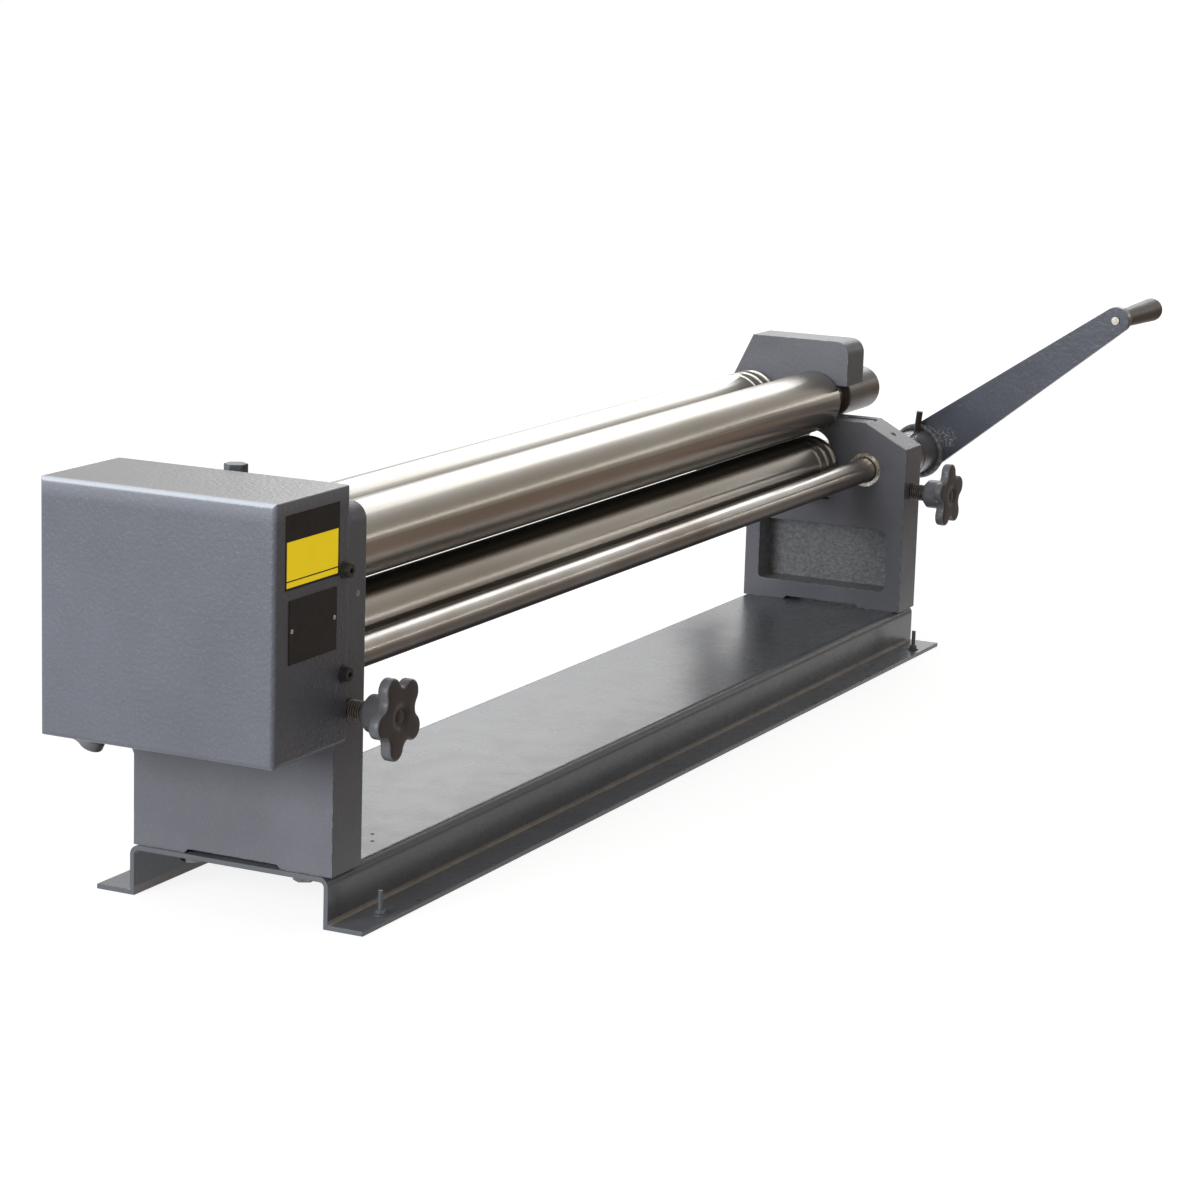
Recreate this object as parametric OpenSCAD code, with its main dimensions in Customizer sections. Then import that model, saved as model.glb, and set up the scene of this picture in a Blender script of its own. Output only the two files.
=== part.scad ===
// Slip roll machine: three rolls between two cast end frames on a hat section base.
// X runs along the rolls towards the crank, Y from the feed side to the back, Z up.
// The origin is the centre of the base at the level that it stands on. Millimetres.

/* [Base] */
// Length of the base channel
base_len = 1440; // [1300:10:1700]
// Width of the base over both flanges
base_d = 285; // [270:1:330]
// Width of the raised middle of the base
hat_w = 212; // [210:1:220]
// Height of the top of the base
base_h = 48; // [40:1:60]
// Thickness of the base plate
base_t = 4.5; // [3:0.5:6]
// Outer radius of the top bends of the base
bend_r = 9; // [6:0.5:12]
// Radius of the four fixing holes in the flanges
foot_hole_r = 6; // [4:0.25:7]
// Distance of the fixing holes from the ends of the base
foot_hole_inset = 53; // [30:1:90]
// Distance of the fixing holes from the edge of the flange
foot_hole_edge = 12.5; // [10:0.5:16]

/* [Frames] */
// Thickness of each cast end frame
frame_t = 52; // [50:1:58]
// Gap between the left end of the base and the left frame
left_inset = 3; // [0:1:12]
// Gap between the right end of the base and the right frame
right_inset = 0.5; // [0:0.5:12]
// Distance of the front face of the frames from the middle of the base
front_reach = 108; // [104:1:112]
// Distance of the lower back face of the frames from the middle of the base
back_reach = 104; // [100:1:112]
// Height of the top of the left frame
left_top_z = 384; // [376:1:396]
// Height of the top of the arm on the right frame
arm_top_z = 381; // [372:1:392]
// Height at which the front chamfer of the right frame starts
chamfer_z = 254; // [248:1:262]
// Distance of the front end of the shoulder from the middle of the base
shoulder_reach = 52; // [46:1:58]
// Distance of the nose of the arm from the middle of the base
nose_reach = 25; // [20:1:34]
// Radius of the rounded nose of the frames
nose_r = 17; // [8:1:22]
// Half width of the inclined arm that holds the rear roll
rear_arm_half = 36; // [34:0.5:42]
// Length of the inclined arm below the axis of the rear roll
rear_arm_len = 120; // [112:1:130]
// Depth of the pocket cast in the inner face of each frame
pocket_depth = 36; // [10:1:40]

/* [Rolls] */
// Radius of the three rolls
roll_r = 37.5; // [36:0.5:38.5]
// Gap between the end of a roll and the frame beside it
roll_end_gap = 2; // [1.8:0.1:4]
// Distance of the top and bottom rolls behind the middle of the base
roll_y = 19.3; // [17:0.1:21]
// Height of the axis of the top roll
top_z = 304.7; // [303:0.1:306]
// Height of the axis of the bottom roll at rest
bottom_z = 223.2; // [222.5:0.1:223.8]
// Distance of the rear roll behind the middle of the base at rest
rear_y = 104; // [102:0.5:107]
// Height of the axis of the rear roll at rest
rear_z = 298.5; // [296:0.5:301]
// Radius of the ends of the top roll
top_journal_r = 19.5; // [18:0.1:20]
// Radius of the ends of the bottom and rear rolls
journal_r = 16; // [14:0.1:16.5]
// Radii of the three wire grooves, from the inner one outwards
groove_r = [4, 5, 6];
// Distances of the wire grooves from the end of the roll
groove_from_end = [51.3, 29.2, 7.7];

/* [Drive] */
// Distance of the drive shaft in front of the middle of the base
drive_reach = 53.4; // [52.8:0.1:54]
// Height of the axis of the drive shaft
drive_z = 224; // [223.4:0.1:224.6]
// Radius of the drive shaft
shaft_r = 15; // [13:0.1:15.4]
// Face width of the gears
gear_w = 28; // [20:1:29]

/* [Crank] */
// Length of the crank from the shaft to the grip
crank_len = 317.7; // [250:1:360]
// Angle of the crank arm above the level at rest
crank_angle = 36.7; // [30:0.1:60]
// Thickness of the crank arm
crank_t = 12; // [8:0.5:14]
// Half width of the crank arm at the shaft
crank_root_half = 30.5; // [29.5:0.5:34]
// Half width of the crank arm at the grip
crank_tip_half = 16.8; // [14:0.2:20]
// Outer radius of the crank collar and hub
crank_hub_r = 28; // [25:0.5:28.5]
// Length of the crank collar
collar_len = 80; // [60:1:80]
// Length of the crank hub
hub_len = 47; // [40:1:60]
// Length of the grip
grip_len = 126; // [90:1:140]
// Largest radius of the grip
grip_r = 14.7; // [13:0.1:18]

/* [Adjusters] */
// Radius of the star knobs over their lobes
star_r = 40; // [34:0.5:41]
// Thickness of the lobes of the star knobs
star_t = 11.5; // [8:0.5:14]
// Length of the hub of the star knobs
knob_hub_len = 24; // [18:0.5:28]
// Radius of the adjusting screws
screw_r = 10; // [9:0.1:10.4]
// Height of the axis of the front adjusting screws
lift_screw_z = 198.4; // [197.5:0.1:198.8]
// Gap between a front knob and its frame at rest
front_knob_gap = 18; // [18:0.5:24]
// Gap between a rear knob and its frame at rest
rear_knob_gap = 19; // [14:0.5:26]
// Travel of the bottom roll up from rest
lift_up = 6; // [2:0.5:6]
// Travel of the bottom roll down from rest
lift_down = 3.5; // [2:0.5:3.5]
// Rise of the lifting wedges for each millimetre that they move
wedge_slope_share = 0.42; // [0.42:0.01:0.46]
// Tilt of the rear roll slots from the level
slot_tilt = 64.4; // [62:0.1:67]
// Travel of the rear roll up from rest
rear_up = 10; // [4:0.5:10]
// Travel of the rear roll down from rest
rear_down = 40; // [20:1:42]

/* [Roll lock] */
// Outer radius of the sleeve that locks the top roll
sleeve_r = 27.5; // [25:0.1:28]
// Length of the lock sleeve
sleeve_len = 100; // [70:1:100]
// Gap between the withdrawn sleeve and the frame
sleeve_gap = 3.5; // [2:0.5:10]
// Depth of the seat that the sleeve enters
sleeve_seat = 34; // [30:1:40]

/* [Gear cover] */
// Width of the cover along the rolls
cover_w = 122.5; // [122:0.5:140]
// Lap of the cover over the front face of the left frame
cover_lap = 15.5; // [14:0.5:15.5]
// Distance of the back of the cover from the middle of the base
cover_back = 132.5; // [128:0.5:140]
// Height of the lower edge of the cover
cover_bottom_z = 170; // [150:1:180]
// Height of the top of the cover
cover_top_z = 404.5; // [400:0.5:420]
// Wall thickness of the cover
cover_t = 3; // [2:0.25:4]
// Outer radius of the bends of the cover
cover_bend_r = 5; // [4.5:0.5:8]
// Reach of the lip turned in along the lower edge of the cover
cover_lip = 8; // [8:0.5:12]

/* [Hidden] */
$fn = 64;

// Overrun of every cut past the face that it opens
cut = 1;
// Radial clearance of every running fit
run_fit = 0.05;
// Clearance on each side of a sliding block or wedge
slide_fit = 0.1;
// Radial clearance of every fixed fit
seat_fit = 0.02;

// Faces of the two frames along the rolls
left_outer = -base_len / 2 + left_inset;
left_inner = left_outer + frame_t;
left_mid = left_outer + frame_t / 2;
right_outer = base_len / 2 - right_inset;
right_inner = right_outer - frame_t;
right_mid = right_outer - frame_t / 2;

// Ends of the roll bodies
roll_x0 = left_inner + roll_end_gap;
roll_x1 = right_inner - roll_end_gap;

// Mouth of the right frame and the lock sleeve
mouth_play = 2;
mouth_r = top_journal_r + mouth_play;
shoulder_z = top_z - mouth_r;
sleeve_bore_r = top_journal_r + run_fit;
sleeve_x0 = right_outer + sleeve_gap;
sleeve_out = 10;
top_journal_over = 2;
top_journal_x1 = sleeve_x0 + sleeve_len + sleeve_out + top_journal_over;

// Outline details of the frames
top_back_r = 12;
arm_end_r = 9;
lower_web_z = 134;
arch_y0 = -50;
arch_y1 = 45;
arch_h = 4;
pocket_y0 = -87;
pocket_y1 = 85;
pocket_z0 = 72;
pocket_z1 = 150;
pocket_r = 6;
shoulder_slot_over = 2;
shoulder_slot_y0 = -shoulder_reach - shoulder_slot_over;
shoulder_slot_w = 11;
shoulder_slot_len = 40;
shoulder_slot_shift = 6;
shoulder_slot_depth = 22;

// Bolts that hold the frames to the base
frame_bolt_r = 6;
frame_bolt_ys = [-64, 57];
frame_bolt_reach = 20;
frame_bolt_head_r = 10.5;
frame_bolt_head_t = 7.5;
frame_bolt_washer_r = 12;
frame_bolt_washer_t = 2.5;

// Slots and blocks of the bottom roll
bottom_slot_half = 27;
bottom_slot_room = 12;
bottom_slot_drop = 41.2;
bottom_slot_z0 = bottom_z - bottom_slot_drop;
bottom_block_rise = 24.8;
bottom_block_flat_z = bottom_z + bottom_block_rise;
block_inset = 0.5;
bush_wall = 3.5;
bush_flange_r = 23;
bush_flange_t = 1.3;
block_wedge_drop = 23.2;
block_wedge_z = bottom_z - block_wedge_drop;

// Wedges and front screws
wedge_half_w = 15;
wedge_front_len = 36.3;
wedge_back_len = 36;
wedge_in = lift_up / wedge_slope_share;
wedge_out = lift_down / wedge_slope_share;
wedge_room = 2;
wedge_front_y = roll_y - wedge_front_len;
channel_y0 = wedge_front_y - wedge_out - wedge_room;
channel_y1 = roll_y + wedge_back_len + wedge_in + wedge_room;
channel_z1 = block_wedge_z + wedge_front_len * wedge_slope_share + wedge_room;
spigot_r = 5;
spigot_len = 12;
neck_r = 7;
thread_grip = 19.5;
thread_end_y = -front_reach + thread_grip;
thread_bore_y = thread_end_y + wedge_in + wedge_room;

// Slots, blocks and screws of the rear roll
rear_slot_half = 24;
rear_slot_room = 2;
rear_block_len = 28;
rear_slot_end = rear_block_len + rear_down + rear_slot_room;
knob_socket = 19;

// Star knobs
star_count = 5;
star_lobe_share = 0.3;
star_valley_share = 0.675;
star_edge = 1.6;
lobe_steps = 12;
valley_steps = 6;
knob_hub_r = 17.5;
knob_neck_r = 12.5;
knob_neck_len = 5;
knob_dish_r = 10;
knob_dish_depth = 1.5;
front_star_angle_left = 42.6;
front_star_angle_right = 20;
rear_star_angle = 54;

// Left bearing of the top roll
window_half_w = 30;
window_half_h = 30;
swivel_bush_wall = 4.5;
pivot_inset = 16;
pivot_x = left_inner - pivot_inset;
pivot_r = 6;
pivot_reach = 10;
hex_r = 11;
locknut_t = 10;
pivot_gap = 4;
pivot_head_t = 8.5;
bolt_washer_t = 1;

// Drive shaft bushes
shaft_bush_r = 21;
shaft_bush_len = 14;
shaft_bush_chamfer = 1.2;
shaft_play = 0.4;

// Places of the gears along the shafts, measured outwards from the left frame
gear_gap = 9;
gear_step = 38;
pinch_x1 = left_outer - gear_gap;
pinch_x0 = pinch_x1 - gear_w;
drive_x1 = pinch_x1 - gear_step;
drive_x0 = drive_x1 - gear_w;
gear_seat_r = 14;
pinion_seat_r = 12.5;
shoulder_x = pinch_x1;
gear_nut_r = 20;
gear_nut_t = 9;
shaft_tail = 2;
ring_nut_t = 4;
ring_nut_r = 19;
pinion_nut_r = 17;
key_w = 8;
key_h = 6;
shaft_collar_r = 24;
shaft_collar_w = 16;
shaft_collar_gap = 1;
set_hole_r = 3;

// Involute teeth: the module, the counts, and the radii as shares of the module
gear_m = 5;
pinion_teeth = 12;
drive_teeth = 31;
pinch_teeth = 15;
pressure_angle = 20;
pinch_tip_share = 8.7;
pinch_root_share = 6.24;
wheel_tip_share = 16.5;
wheel_root_share = 14.5;
pinion_tip_share = 7;
pinion_root_share = 5.04;
pinch_tip_r = pinch_tip_share * gear_m;
pinch_root_r = pinch_root_share * gear_m;
wheel_tip_r = wheel_tip_share * gear_m;
wheel_root_r = wheel_root_share * gear_m;
pinion_tip_r = pinion_tip_share * gear_m;
pinion_root_r = pinion_root_share * gear_m;
backlash_share = 0.08;
flank_steps = 5;
root_step_share = 0.12;
wheel_hub_r = 30;
wheel_web_w = 12;
wheel_rim = 9;
wheel_hole_r = 11;
wheel_hole_count = 5;

// Crank
collar_gap = 5;
collar_x0 = right_outer + collar_gap;
hub_gap = 1;
hub_x0 = collar_x0 + collar_len + hub_gap;
arm_x0 = hub_x0 + hub_len;
arm_x1 = arm_x0 + crank_t;
weld_w = 5;
weld_r = 35.5;
pin_r = 4;
pin_back = 10;
pin_reach = 54;
pin_lean = 6;
collar_chamfer = 1.5;
spindle_r = 7.5;
rivet_r = 5;
rivet_proud = 2;
end_steps = 24;
spindle_collar_r = 10;
spindle_collar_len = 13;
grip_washer_r = 11.5;
grip_washer_t = 7.5;
grip_gap = 0.4;
grip_root_r = 11.3;
grip_bore_room = 7;
grip_x0 = arm_x1 + spindle_collar_len + grip_washer_t + grip_gap;

// Cover fasteners and oil points
cover_screw_r = 4;
cover_screw_head_r = 6.5;
cover_screw_head_t = 6;
cover_screw_washer_r = 8;
cover_screw_washer_t = 1.5;
cover_screw_socket_r = 3;
cover_screw_reach = 14;
cover_screw_inset = 9;
cover_screw_low = 65;
cover_screw_high = 75.5;
cover_screw_zs = [cover_bottom_z + cover_screw_low, cover_top_z - cover_screw_high];
cover_slot_r = 4.5;
cover_fold_r = 1.5;
oil_r = 4;
oil_left_r = 2.5;
oil_proud = 0.5;
oil_cup = 2.5;
oil_cup_share = 0.72;
oil_ball_share = 0.45;
oil_reach = 8;
left_oil_inset = 14;
left_oil_drop = 1.7;
left_oil_z = top_z - left_oil_drop;

// Unit vectors of the rear slot: down its length, and square to it towards the back
slot_c = cos(slot_tilt);
slot_s = sin(slot_tilt);
function rear_at(along, across) =
    [rear_y + along * slot_c + across * slot_s, rear_z - along * slot_s + across * slot_c];

// Draws an outline given in Y and Z, and extrudes it along X
module along_x(x0, x1) {
    translate([x0, 0, 0])
        rotate([90, 0, 90])
            linear_extrude(height = x1 - x0)
                children();
}

// A rod along X
module rod_x(x0, x1, r, y, z) {
    translate([x0, y, z])
        rotate([0, 90, 0])
            cylinder(h = x1 - x0, r = r);
}

// A tube along X
module tube_x(x0, x1, r, bore_r, y, z) {
    difference() {
        rod_x(x0, x1, r, y, z);
        rod_x(x0 - cut, x1 + cut, bore_r, y, z);
    }
}

// Places its children with their Z axis pointing at the front
module facing_front(x, y, z) {
    translate([x, y, z])
        rotate([90, 0, 0])
            children();
}

// Places its children with their Z axis pointing down the rear slot
module down_slot(x, along) {
    at = rear_at(along, 0);
    translate([x, at[0], at[1]])
        rotate([-90 - slot_tilt, 0, 0])
            children();
}

// Draws its children in the plane of the rear slot, X down its length
module in_slot_plane() {
    translate([rear_y, rear_z])
        rotate(-slot_tilt)
            children();
}

// What a rounded corner loses: a square less a quarter circle, turned to its corner
module corner(at, r, turn) {
    translate(at)
        rotate(turn)
            translate([-r, -r])
                difference() {
                    square(r + cut);
                    circle(r);
                }
}

// A rectangle with four rounded corners
module soft_rect(a, b, r) {
    difference() {
        translate(a)
            square(b - a);
        corner(b, r, 0);
        corner([a[0], b[1]], r, 90);
        corner(a, r, 180);
        corner([b[0], a[1]], r, 270);
    }
}

// A straight sided slot with a round upper end
module arched(half_w, z0, z1) {
    translate([-half_w, z0])
        square([2 * half_w, z1 - half_w - z0]);
    translate([0, z1 - half_w])
        circle(half_w);
}

// BASE: a plate bent to a hat section, with the flanges at the floor
module hat_outline(inset) {
    half = hat_w / 2 - inset;
    difference() {
        translate([-half, -cut])
            square([2 * half, base_h - inset + cut]);
        corner([half, base_h - inset], bend_r - inset, 0);
        corner([-half, base_h - inset], bend_r - inset, 90);
    }
}

module base_channel() {
    color("lightsteelblue")
        difference() {
            along_x(-base_len / 2, base_len / 2)
                difference() {
                    union() {
                        hat_outline(0);
                        translate([-base_d / 2, 0])
                            square([base_d, base_t]);
                    }
                    hat_outline(base_t);
                    translate([-base_d / 2, -cut])
                        square([base_d, cut]);
                }
            for (x = [left_mid, right_mid], y = frame_bolt_ys)
                translate([x, y, base_h - base_t - cut])
                    cylinder(h = base_t + 2 * cut, r = frame_bolt_r + seat_fit);
            for (sx = [-1, 1], sy = [-1, 1])
                translate([sx * (base_len / 2 - foot_hole_inset), sy * (base_d / 2 - foot_hole_edge), -cut])
                    cylinder(h = base_t + 2 * cut, r = foot_hole_r);
        }
}

// Bolts from under the base plate into the feet of the frames
module frame_bolts() {
    color("dimgray")
        for (x = [left_mid, right_mid], y = frame_bolt_ys)
            translate([x, y, base_h - base_t]) {
                cylinder(h = base_t + frame_bolt_reach, r = frame_bolt_r);
                translate([0, 0, -frame_bolt_washer_t])
                    cylinder(h = frame_bolt_washer_t, r = frame_bolt_washer_r);
                translate([0, 0, -frame_bolt_washer_t - frame_bolt_head_t])
                    cylinder(h = frame_bolt_head_t, r = frame_bolt_head_r, $fn = 6);
            }
}

// FRAMES: the outline both castings share, with a chamfered or a full front
module frame_outline(top, full) {
    back_top = (rear_z + rear_arm_half * slot_c - top) / slot_s;
    nose_y = full ? -front_reach : -nose_reach;
    front = full ? [[-front_reach, base_h]]
                 : [[-front_reach, base_h], [-front_reach, chamfer_z], [-shoulder_reach, shoulder_z],
                    [-nose_reach, shoulder_z]];
    difference() {
        polygon(concat(front, [[nose_y, top], rear_at(back_top, rear_arm_half),
                               rear_at(rear_arm_len, rear_arm_half), rear_at(rear_arm_len, -rear_arm_half),
                               [back_reach, lower_web_z], [back_reach, base_h]]));
        corner([nose_y, top], nose_r, 90);
        in_slot_plane() {
            corner([rear_arm_len, rear_arm_half], arm_end_r, 0);
            corner([rear_arm_len, -rear_arm_half], arm_end_r, 270);
        }
    }
}

// Slots of the bottom and rear rolls, and the relief under the foot
module frame_slots() {
    translate([roll_y, 0])
        arched(bottom_slot_half, bottom_slot_z0, bottom_z + lift_up + bottom_slot_half + bottom_slot_room);
    in_slot_plane() {
        translate([-rear_up - rear_slot_room, 0])
            circle(rear_slot_half);
        translate([-rear_up - rear_slot_room, -rear_slot_half])
            square([rear_slot_end + rear_up + rear_slot_room, 2 * rear_slot_half]);
    }
    polygon([[arch_y0 - arch_h - cut, base_h - cut], [arch_y0, base_h + arch_h],
             [arch_y1, base_h + arch_h], [arch_y1 + arch_h + cut, base_h - cut]]);
}

// Round and drilled features that both frames share; inner is the face with the pocket
module frame_cuts(mid, inner, side) {
    along_x(side > 0 ? inner - pocket_depth : inner - cut, side > 0 ? inner + cut : inner + pocket_depth)
        soft_rect([pocket_y0, pocket_z0], [pocket_y1, pocket_z1], pocket_r);
    translate([mid - wedge_half_w - slide_fit, channel_y0, bottom_slot_z0])
        cube([2 * (wedge_half_w + slide_fit), channel_y1 - channel_y0, channel_z1 - bottom_slot_z0]);
    facing_front(mid, channel_y0 + cut, lift_screw_z)
        cylinder(h = front_reach + channel_y0 + 2 * cut, r = neck_r + slide_fit);
    facing_front(mid, thread_bore_y, lift_screw_z)
        cylinder(h = front_reach + thread_bore_y + cut, r = screw_r + run_fit);
    down_slot(mid, rear_slot_end - cut)
        cylinder(h = rear_arm_len - rear_slot_end + 2 * cut, r = screw_r + run_fit);
    rod_x(mid - frame_t, mid + frame_t, shaft_r + shaft_play, -drive_reach, drive_z);
    for (s = [-1, 1])
        rod_x(mid + s * (frame_t / 2 - shaft_bush_len / 2) - shaft_bush_len / 2 - (s < 0 ? cut : 0),
              mid + s * (frame_t / 2 - shaft_bush_len / 2) + shaft_bush_len / 2 + (s > 0 ? cut : 0),
              shaft_bush_r + seat_fit, -drive_reach, drive_z);
    for (y = frame_bolt_ys)
        translate([mid, y, base_h - cut])
            cylinder(h = frame_bolt_reach + 2 * cut, r = frame_bolt_r + seat_fit);
}

module left_frame() {
    color("slategray")
        difference() {
            along_x(left_outer, left_inner)
                difference() {
                    frame_outline(left_top_z, true);
                    frame_slots();
                    translate([roll_y - window_half_w, top_z - window_half_h])
                        square([2 * window_half_w, 2 * window_half_h]);
                }
            frame_cuts(left_mid, left_inner, 1);
            translate([pivot_x, roll_y, top_z])
                cylinder(h = left_top_z, r = pivot_r + seat_fit);
            for (z = cover_screw_zs)
                facing_front(left_outer + cover_screw_inset, -front_reach + cover_screw_reach + cut, z)
                    cylinder(h = cover_screw_reach + 2 * cut, r = cover_screw_r + seat_fit);
            facing_front(left_inner - left_oil_inset, -front_reach + oil_reach + cut, left_oil_z)
                cylinder(h = oil_reach + 2 * cut, r = oil_left_r + seat_fit);
        }
}

// The right frame is open at the front, so that finished work slips off over the roll
module right_frame() {
    color("slategray")
        difference() {
            along_x(right_inner, right_outer)
                difference() {
                    frame_outline(arm_top_z, false);
                    frame_slots();
                    translate([-front_reach, shoulder_z])
                        square([front_reach + roll_y, 2 * mouth_r]);
                    translate([roll_y, top_z])
                        circle(mouth_r);
                }
            frame_cuts(right_mid, right_inner, -1);
            rod_x(right_outer - sleeve_seat, right_outer + cut, sleeve_r + run_fit, roll_y, top_z);
            translate([right_mid + shoulder_slot_shift - shoulder_slot_w / 2, shoulder_slot_y0,
                       shoulder_z - shoulder_slot_depth])
                cube([shoulder_slot_w, shoulder_slot_len, shoulder_slot_depth + cut]);
            right_oil_place(-oil_reach)
                cylinder(h = oil_reach + cut, r = oil_r + seat_fit);
        }
}

// Stands its children square on the middle of the front chamfer, sunk by depth
module right_oil_place(depth) {
    rise = shoulder_z - chamfer_z;
    run = front_reach - shoulder_reach;
    translate([right_mid, -(front_reach + shoulder_reach) / 2, (chamfer_z + shoulder_z) / 2])
        rotate([atan2(rise, run), 0, 0])
            translate([0, 0, depth])
                children();
}

// A ball oiler: a cup in a drilled hole, with the ball down in it
module oiler(r) {
    difference() {
        cylinder(h = oil_reach + oil_proud, r = r);
        translate([0, 0, oil_reach + oil_proud - oil_cup])
            cylinder(h = oil_cup + cut, r = r * oil_cup_share);
    }
    translate([0, 0, oil_reach + oil_proud - oil_cup])
        sphere(r * oil_ball_share);
}

module oilers() {
    color("silver") {
        facing_front(left_inner - left_oil_inset, -front_reach + oil_reach, left_oil_z)
            oiler(oil_left_r);
        right_oil_place(-oil_reach)
            oiler(oil_r);
    }
}

// LEFT BEARING OF THE TOP ROLL: a block in a window, hung on a vertical bolt
module swivel_block() {
    x0 = left_outer + block_inset;
    x1 = left_inner - block_inset;
    color("gray")
        difference() {
            along_x(x0, x1)
                difference() {
                    translate([roll_y - window_half_w + slide_fit, top_z - window_half_h + slide_fit])
                        square([2 * (window_half_w - slide_fit), 2 * (window_half_h - slide_fit)]);
                    translate([roll_y, top_z])
                        circle(top_journal_r + swivel_bush_wall + seat_fit);
                }
            translate([pivot_x, roll_y, top_z + window_half_h - pivot_reach])
                cylinder(h = pivot_reach, r = pivot_r + seat_fit);
        }
}

module swivel_bush() {
    color("goldenrod")
        tube_x(left_outer + block_inset, left_inner - block_inset,
               top_journal_r + swivel_bush_wall, top_journal_r + run_fit, roll_y, top_z);
}

module pivot_bolt() {
    pin_z0 = top_z + window_half_h - pivot_reach / 2;
    head_z0 = left_top_z + bolt_washer_t + locknut_t + pivot_gap;
    color("silver")
        translate([pivot_x, roll_y, 0]) {
            translate([0, 0, pin_z0])
                cylinder(h = head_z0 - pin_z0, r = pivot_r);
            translate([0, 0, head_z0])
                cylinder(h = pivot_head_t, r = hex_r, $fn = 6);
        }
}

module pivot_locknut() {
    color("silver")
        translate([pivot_x, roll_y, left_top_z])
            difference() {
                union() {
                    cylinder(h = bolt_washer_t, r = hex_r + bolt_washer_t);
                    translate([0, 0, bolt_washer_t])
                        cylinder(h = locknut_t, r = hex_r, $fn = 6);
                }
                translate([0, 0, -cut])
                    cylinder(h = locknut_t + bolt_washer_t + 2 * cut, r = pivot_r + seat_fit);
            }
}

// ROLLS: ground steel bodies with turned ends
module groove_cut(x, r, y, z) {
    translate([x, y, z])
        rotate([0, 90, 0])
            rotate_extrude()
                translate([roll_r, 0])
                    circle(r);
}

module wire_grooves(y, z) {
    for (i = [0 : len(groove_r) - 1])
        groove_cut(roll_x1 - groove_from_end[i], groove_r[i], y, z);
}

// A square key lying along a shaft, on its upper side
module key_bar(x0, x1, seat_r, y, z) {
    translate([x0, y - key_w / 2, z + seat_r - key_h / 2])
        cube([x1 - x0, key_w, key_h]);
}

module key_slot(x0, x1, seat_r, y, z) {
    translate([x0 - seat_fit, y - key_w / 2 - seat_fit, z + seat_r - key_h / 2 - seat_fit])
        cube([x1 - x0 + 2 * seat_fit, key_w + 2 * seat_fit, key_h + 2 * seat_fit]);
}

module top_roll() {
    nut_x0 = drive_x0 - gear_nut_t;
    color("gainsboro")
        difference() {
            union() {
                rod_x(roll_x0, roll_x1, roll_r, roll_y, top_z);
                rod_x(roll_x1, top_journal_x1, top_journal_r, roll_y, top_z);
                rod_x(shoulder_x, roll_x0, top_journal_r, roll_y, top_z);
                rod_x(nut_x0 - shaft_tail, shoulder_x, gear_seat_r, roll_y, top_z);
            }
            key_slot(drive_x0, pinch_x1, gear_seat_r, roll_y, top_z);
        }
}

module bottom_roll() {
    color("gainsboro")
        difference() {
            union() {
                rod_x(roll_x0, roll_x1, roll_r, roll_y, bottom_z);
                rod_x(roll_x1, right_outer - block_inset, journal_r, roll_y, bottom_z);
                rod_x(shoulder_x, roll_x0, journal_r, roll_y, bottom_z);
                rod_x(pinch_x0 - ring_nut_t - shaft_tail / 2, shoulder_x, gear_seat_r, roll_y, bottom_z);
            }
            wire_grooves(roll_y, bottom_z);
            key_slot(pinch_x0, pinch_x1, gear_seat_r, roll_y, bottom_z);
        }
}

module rear_roll() {
    color("gainsboro")
        difference() {
            union() {
                rod_x(roll_x0, roll_x1, roll_r, rear_y, rear_z);
                rod_x(left_outer + block_inset, right_outer - block_inset, journal_r, rear_y, rear_z);
            }
            wire_grooves(rear_y, rear_z);
        }
}

// Flanged bush between a block and the end of a roll; side points from block to roll
module flanged_bush(mid, side, y, z) {
    half = frame_t / 2 - block_inset;
    difference() {
        union() {
            rod_x(mid - half, mid + half, journal_r + bush_wall, y, z);
            if (side > 0)
                rod_x(mid + half, mid + half + bush_flange_t, bush_flange_r, y, z);
            else
                rod_x(mid - half - bush_flange_t, mid - half, bush_flange_r, y, z);
        }
        rod_x(mid - frame_t, mid + frame_t, journal_r + run_fit, y, z);
    }
}

// BOTTOM ROLL BLOCKS: round on top, with a sloping seat for the lifting wedge
module bottom_block(mid) {
    half = bottom_slot_half - slide_fit;
    reach = frame_t / 2 - block_inset;
    color("gray")
        along_x(mid - reach, mid + reach)
            difference() {
                intersection() {
                    union() {
                        translate([roll_y, bottom_z])
                            intersection() {
                                circle(half);
                                translate([-half, 0])
                                    square([2 * half, half]);
                            }
                        polygon([[roll_y - half, bottom_z], [roll_y - half, wedge_top(roll_y - half)],
                                 [roll_y + half, wedge_top(roll_y + half)], [roll_y + half, bottom_z]]);
                    }
                    translate([roll_y - half, bottom_slot_z0])
                        square([2 * half, bottom_block_flat_z - bottom_slot_z0]);
                }
                translate([roll_y, bottom_z])
                    circle(journal_r + bush_wall + seat_fit);
            }
}

// Height of the sloping face between wedge and block
function wedge_top(y) = block_wedge_z + (roll_y - y) * wedge_slope_share;

module bottom_block_left() {
    bottom_block(left_mid);
}

module bottom_block_right() {
    bottom_block(right_mid);
}

module bottom_bush_left() {
    color("goldenrod")
        flanged_bush(left_mid, 1, roll_y, bottom_z);
}

module bottom_bush_right() {
    color("goldenrod")
        flanged_bush(right_mid, -1, roll_y, bottom_z);
}

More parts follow.
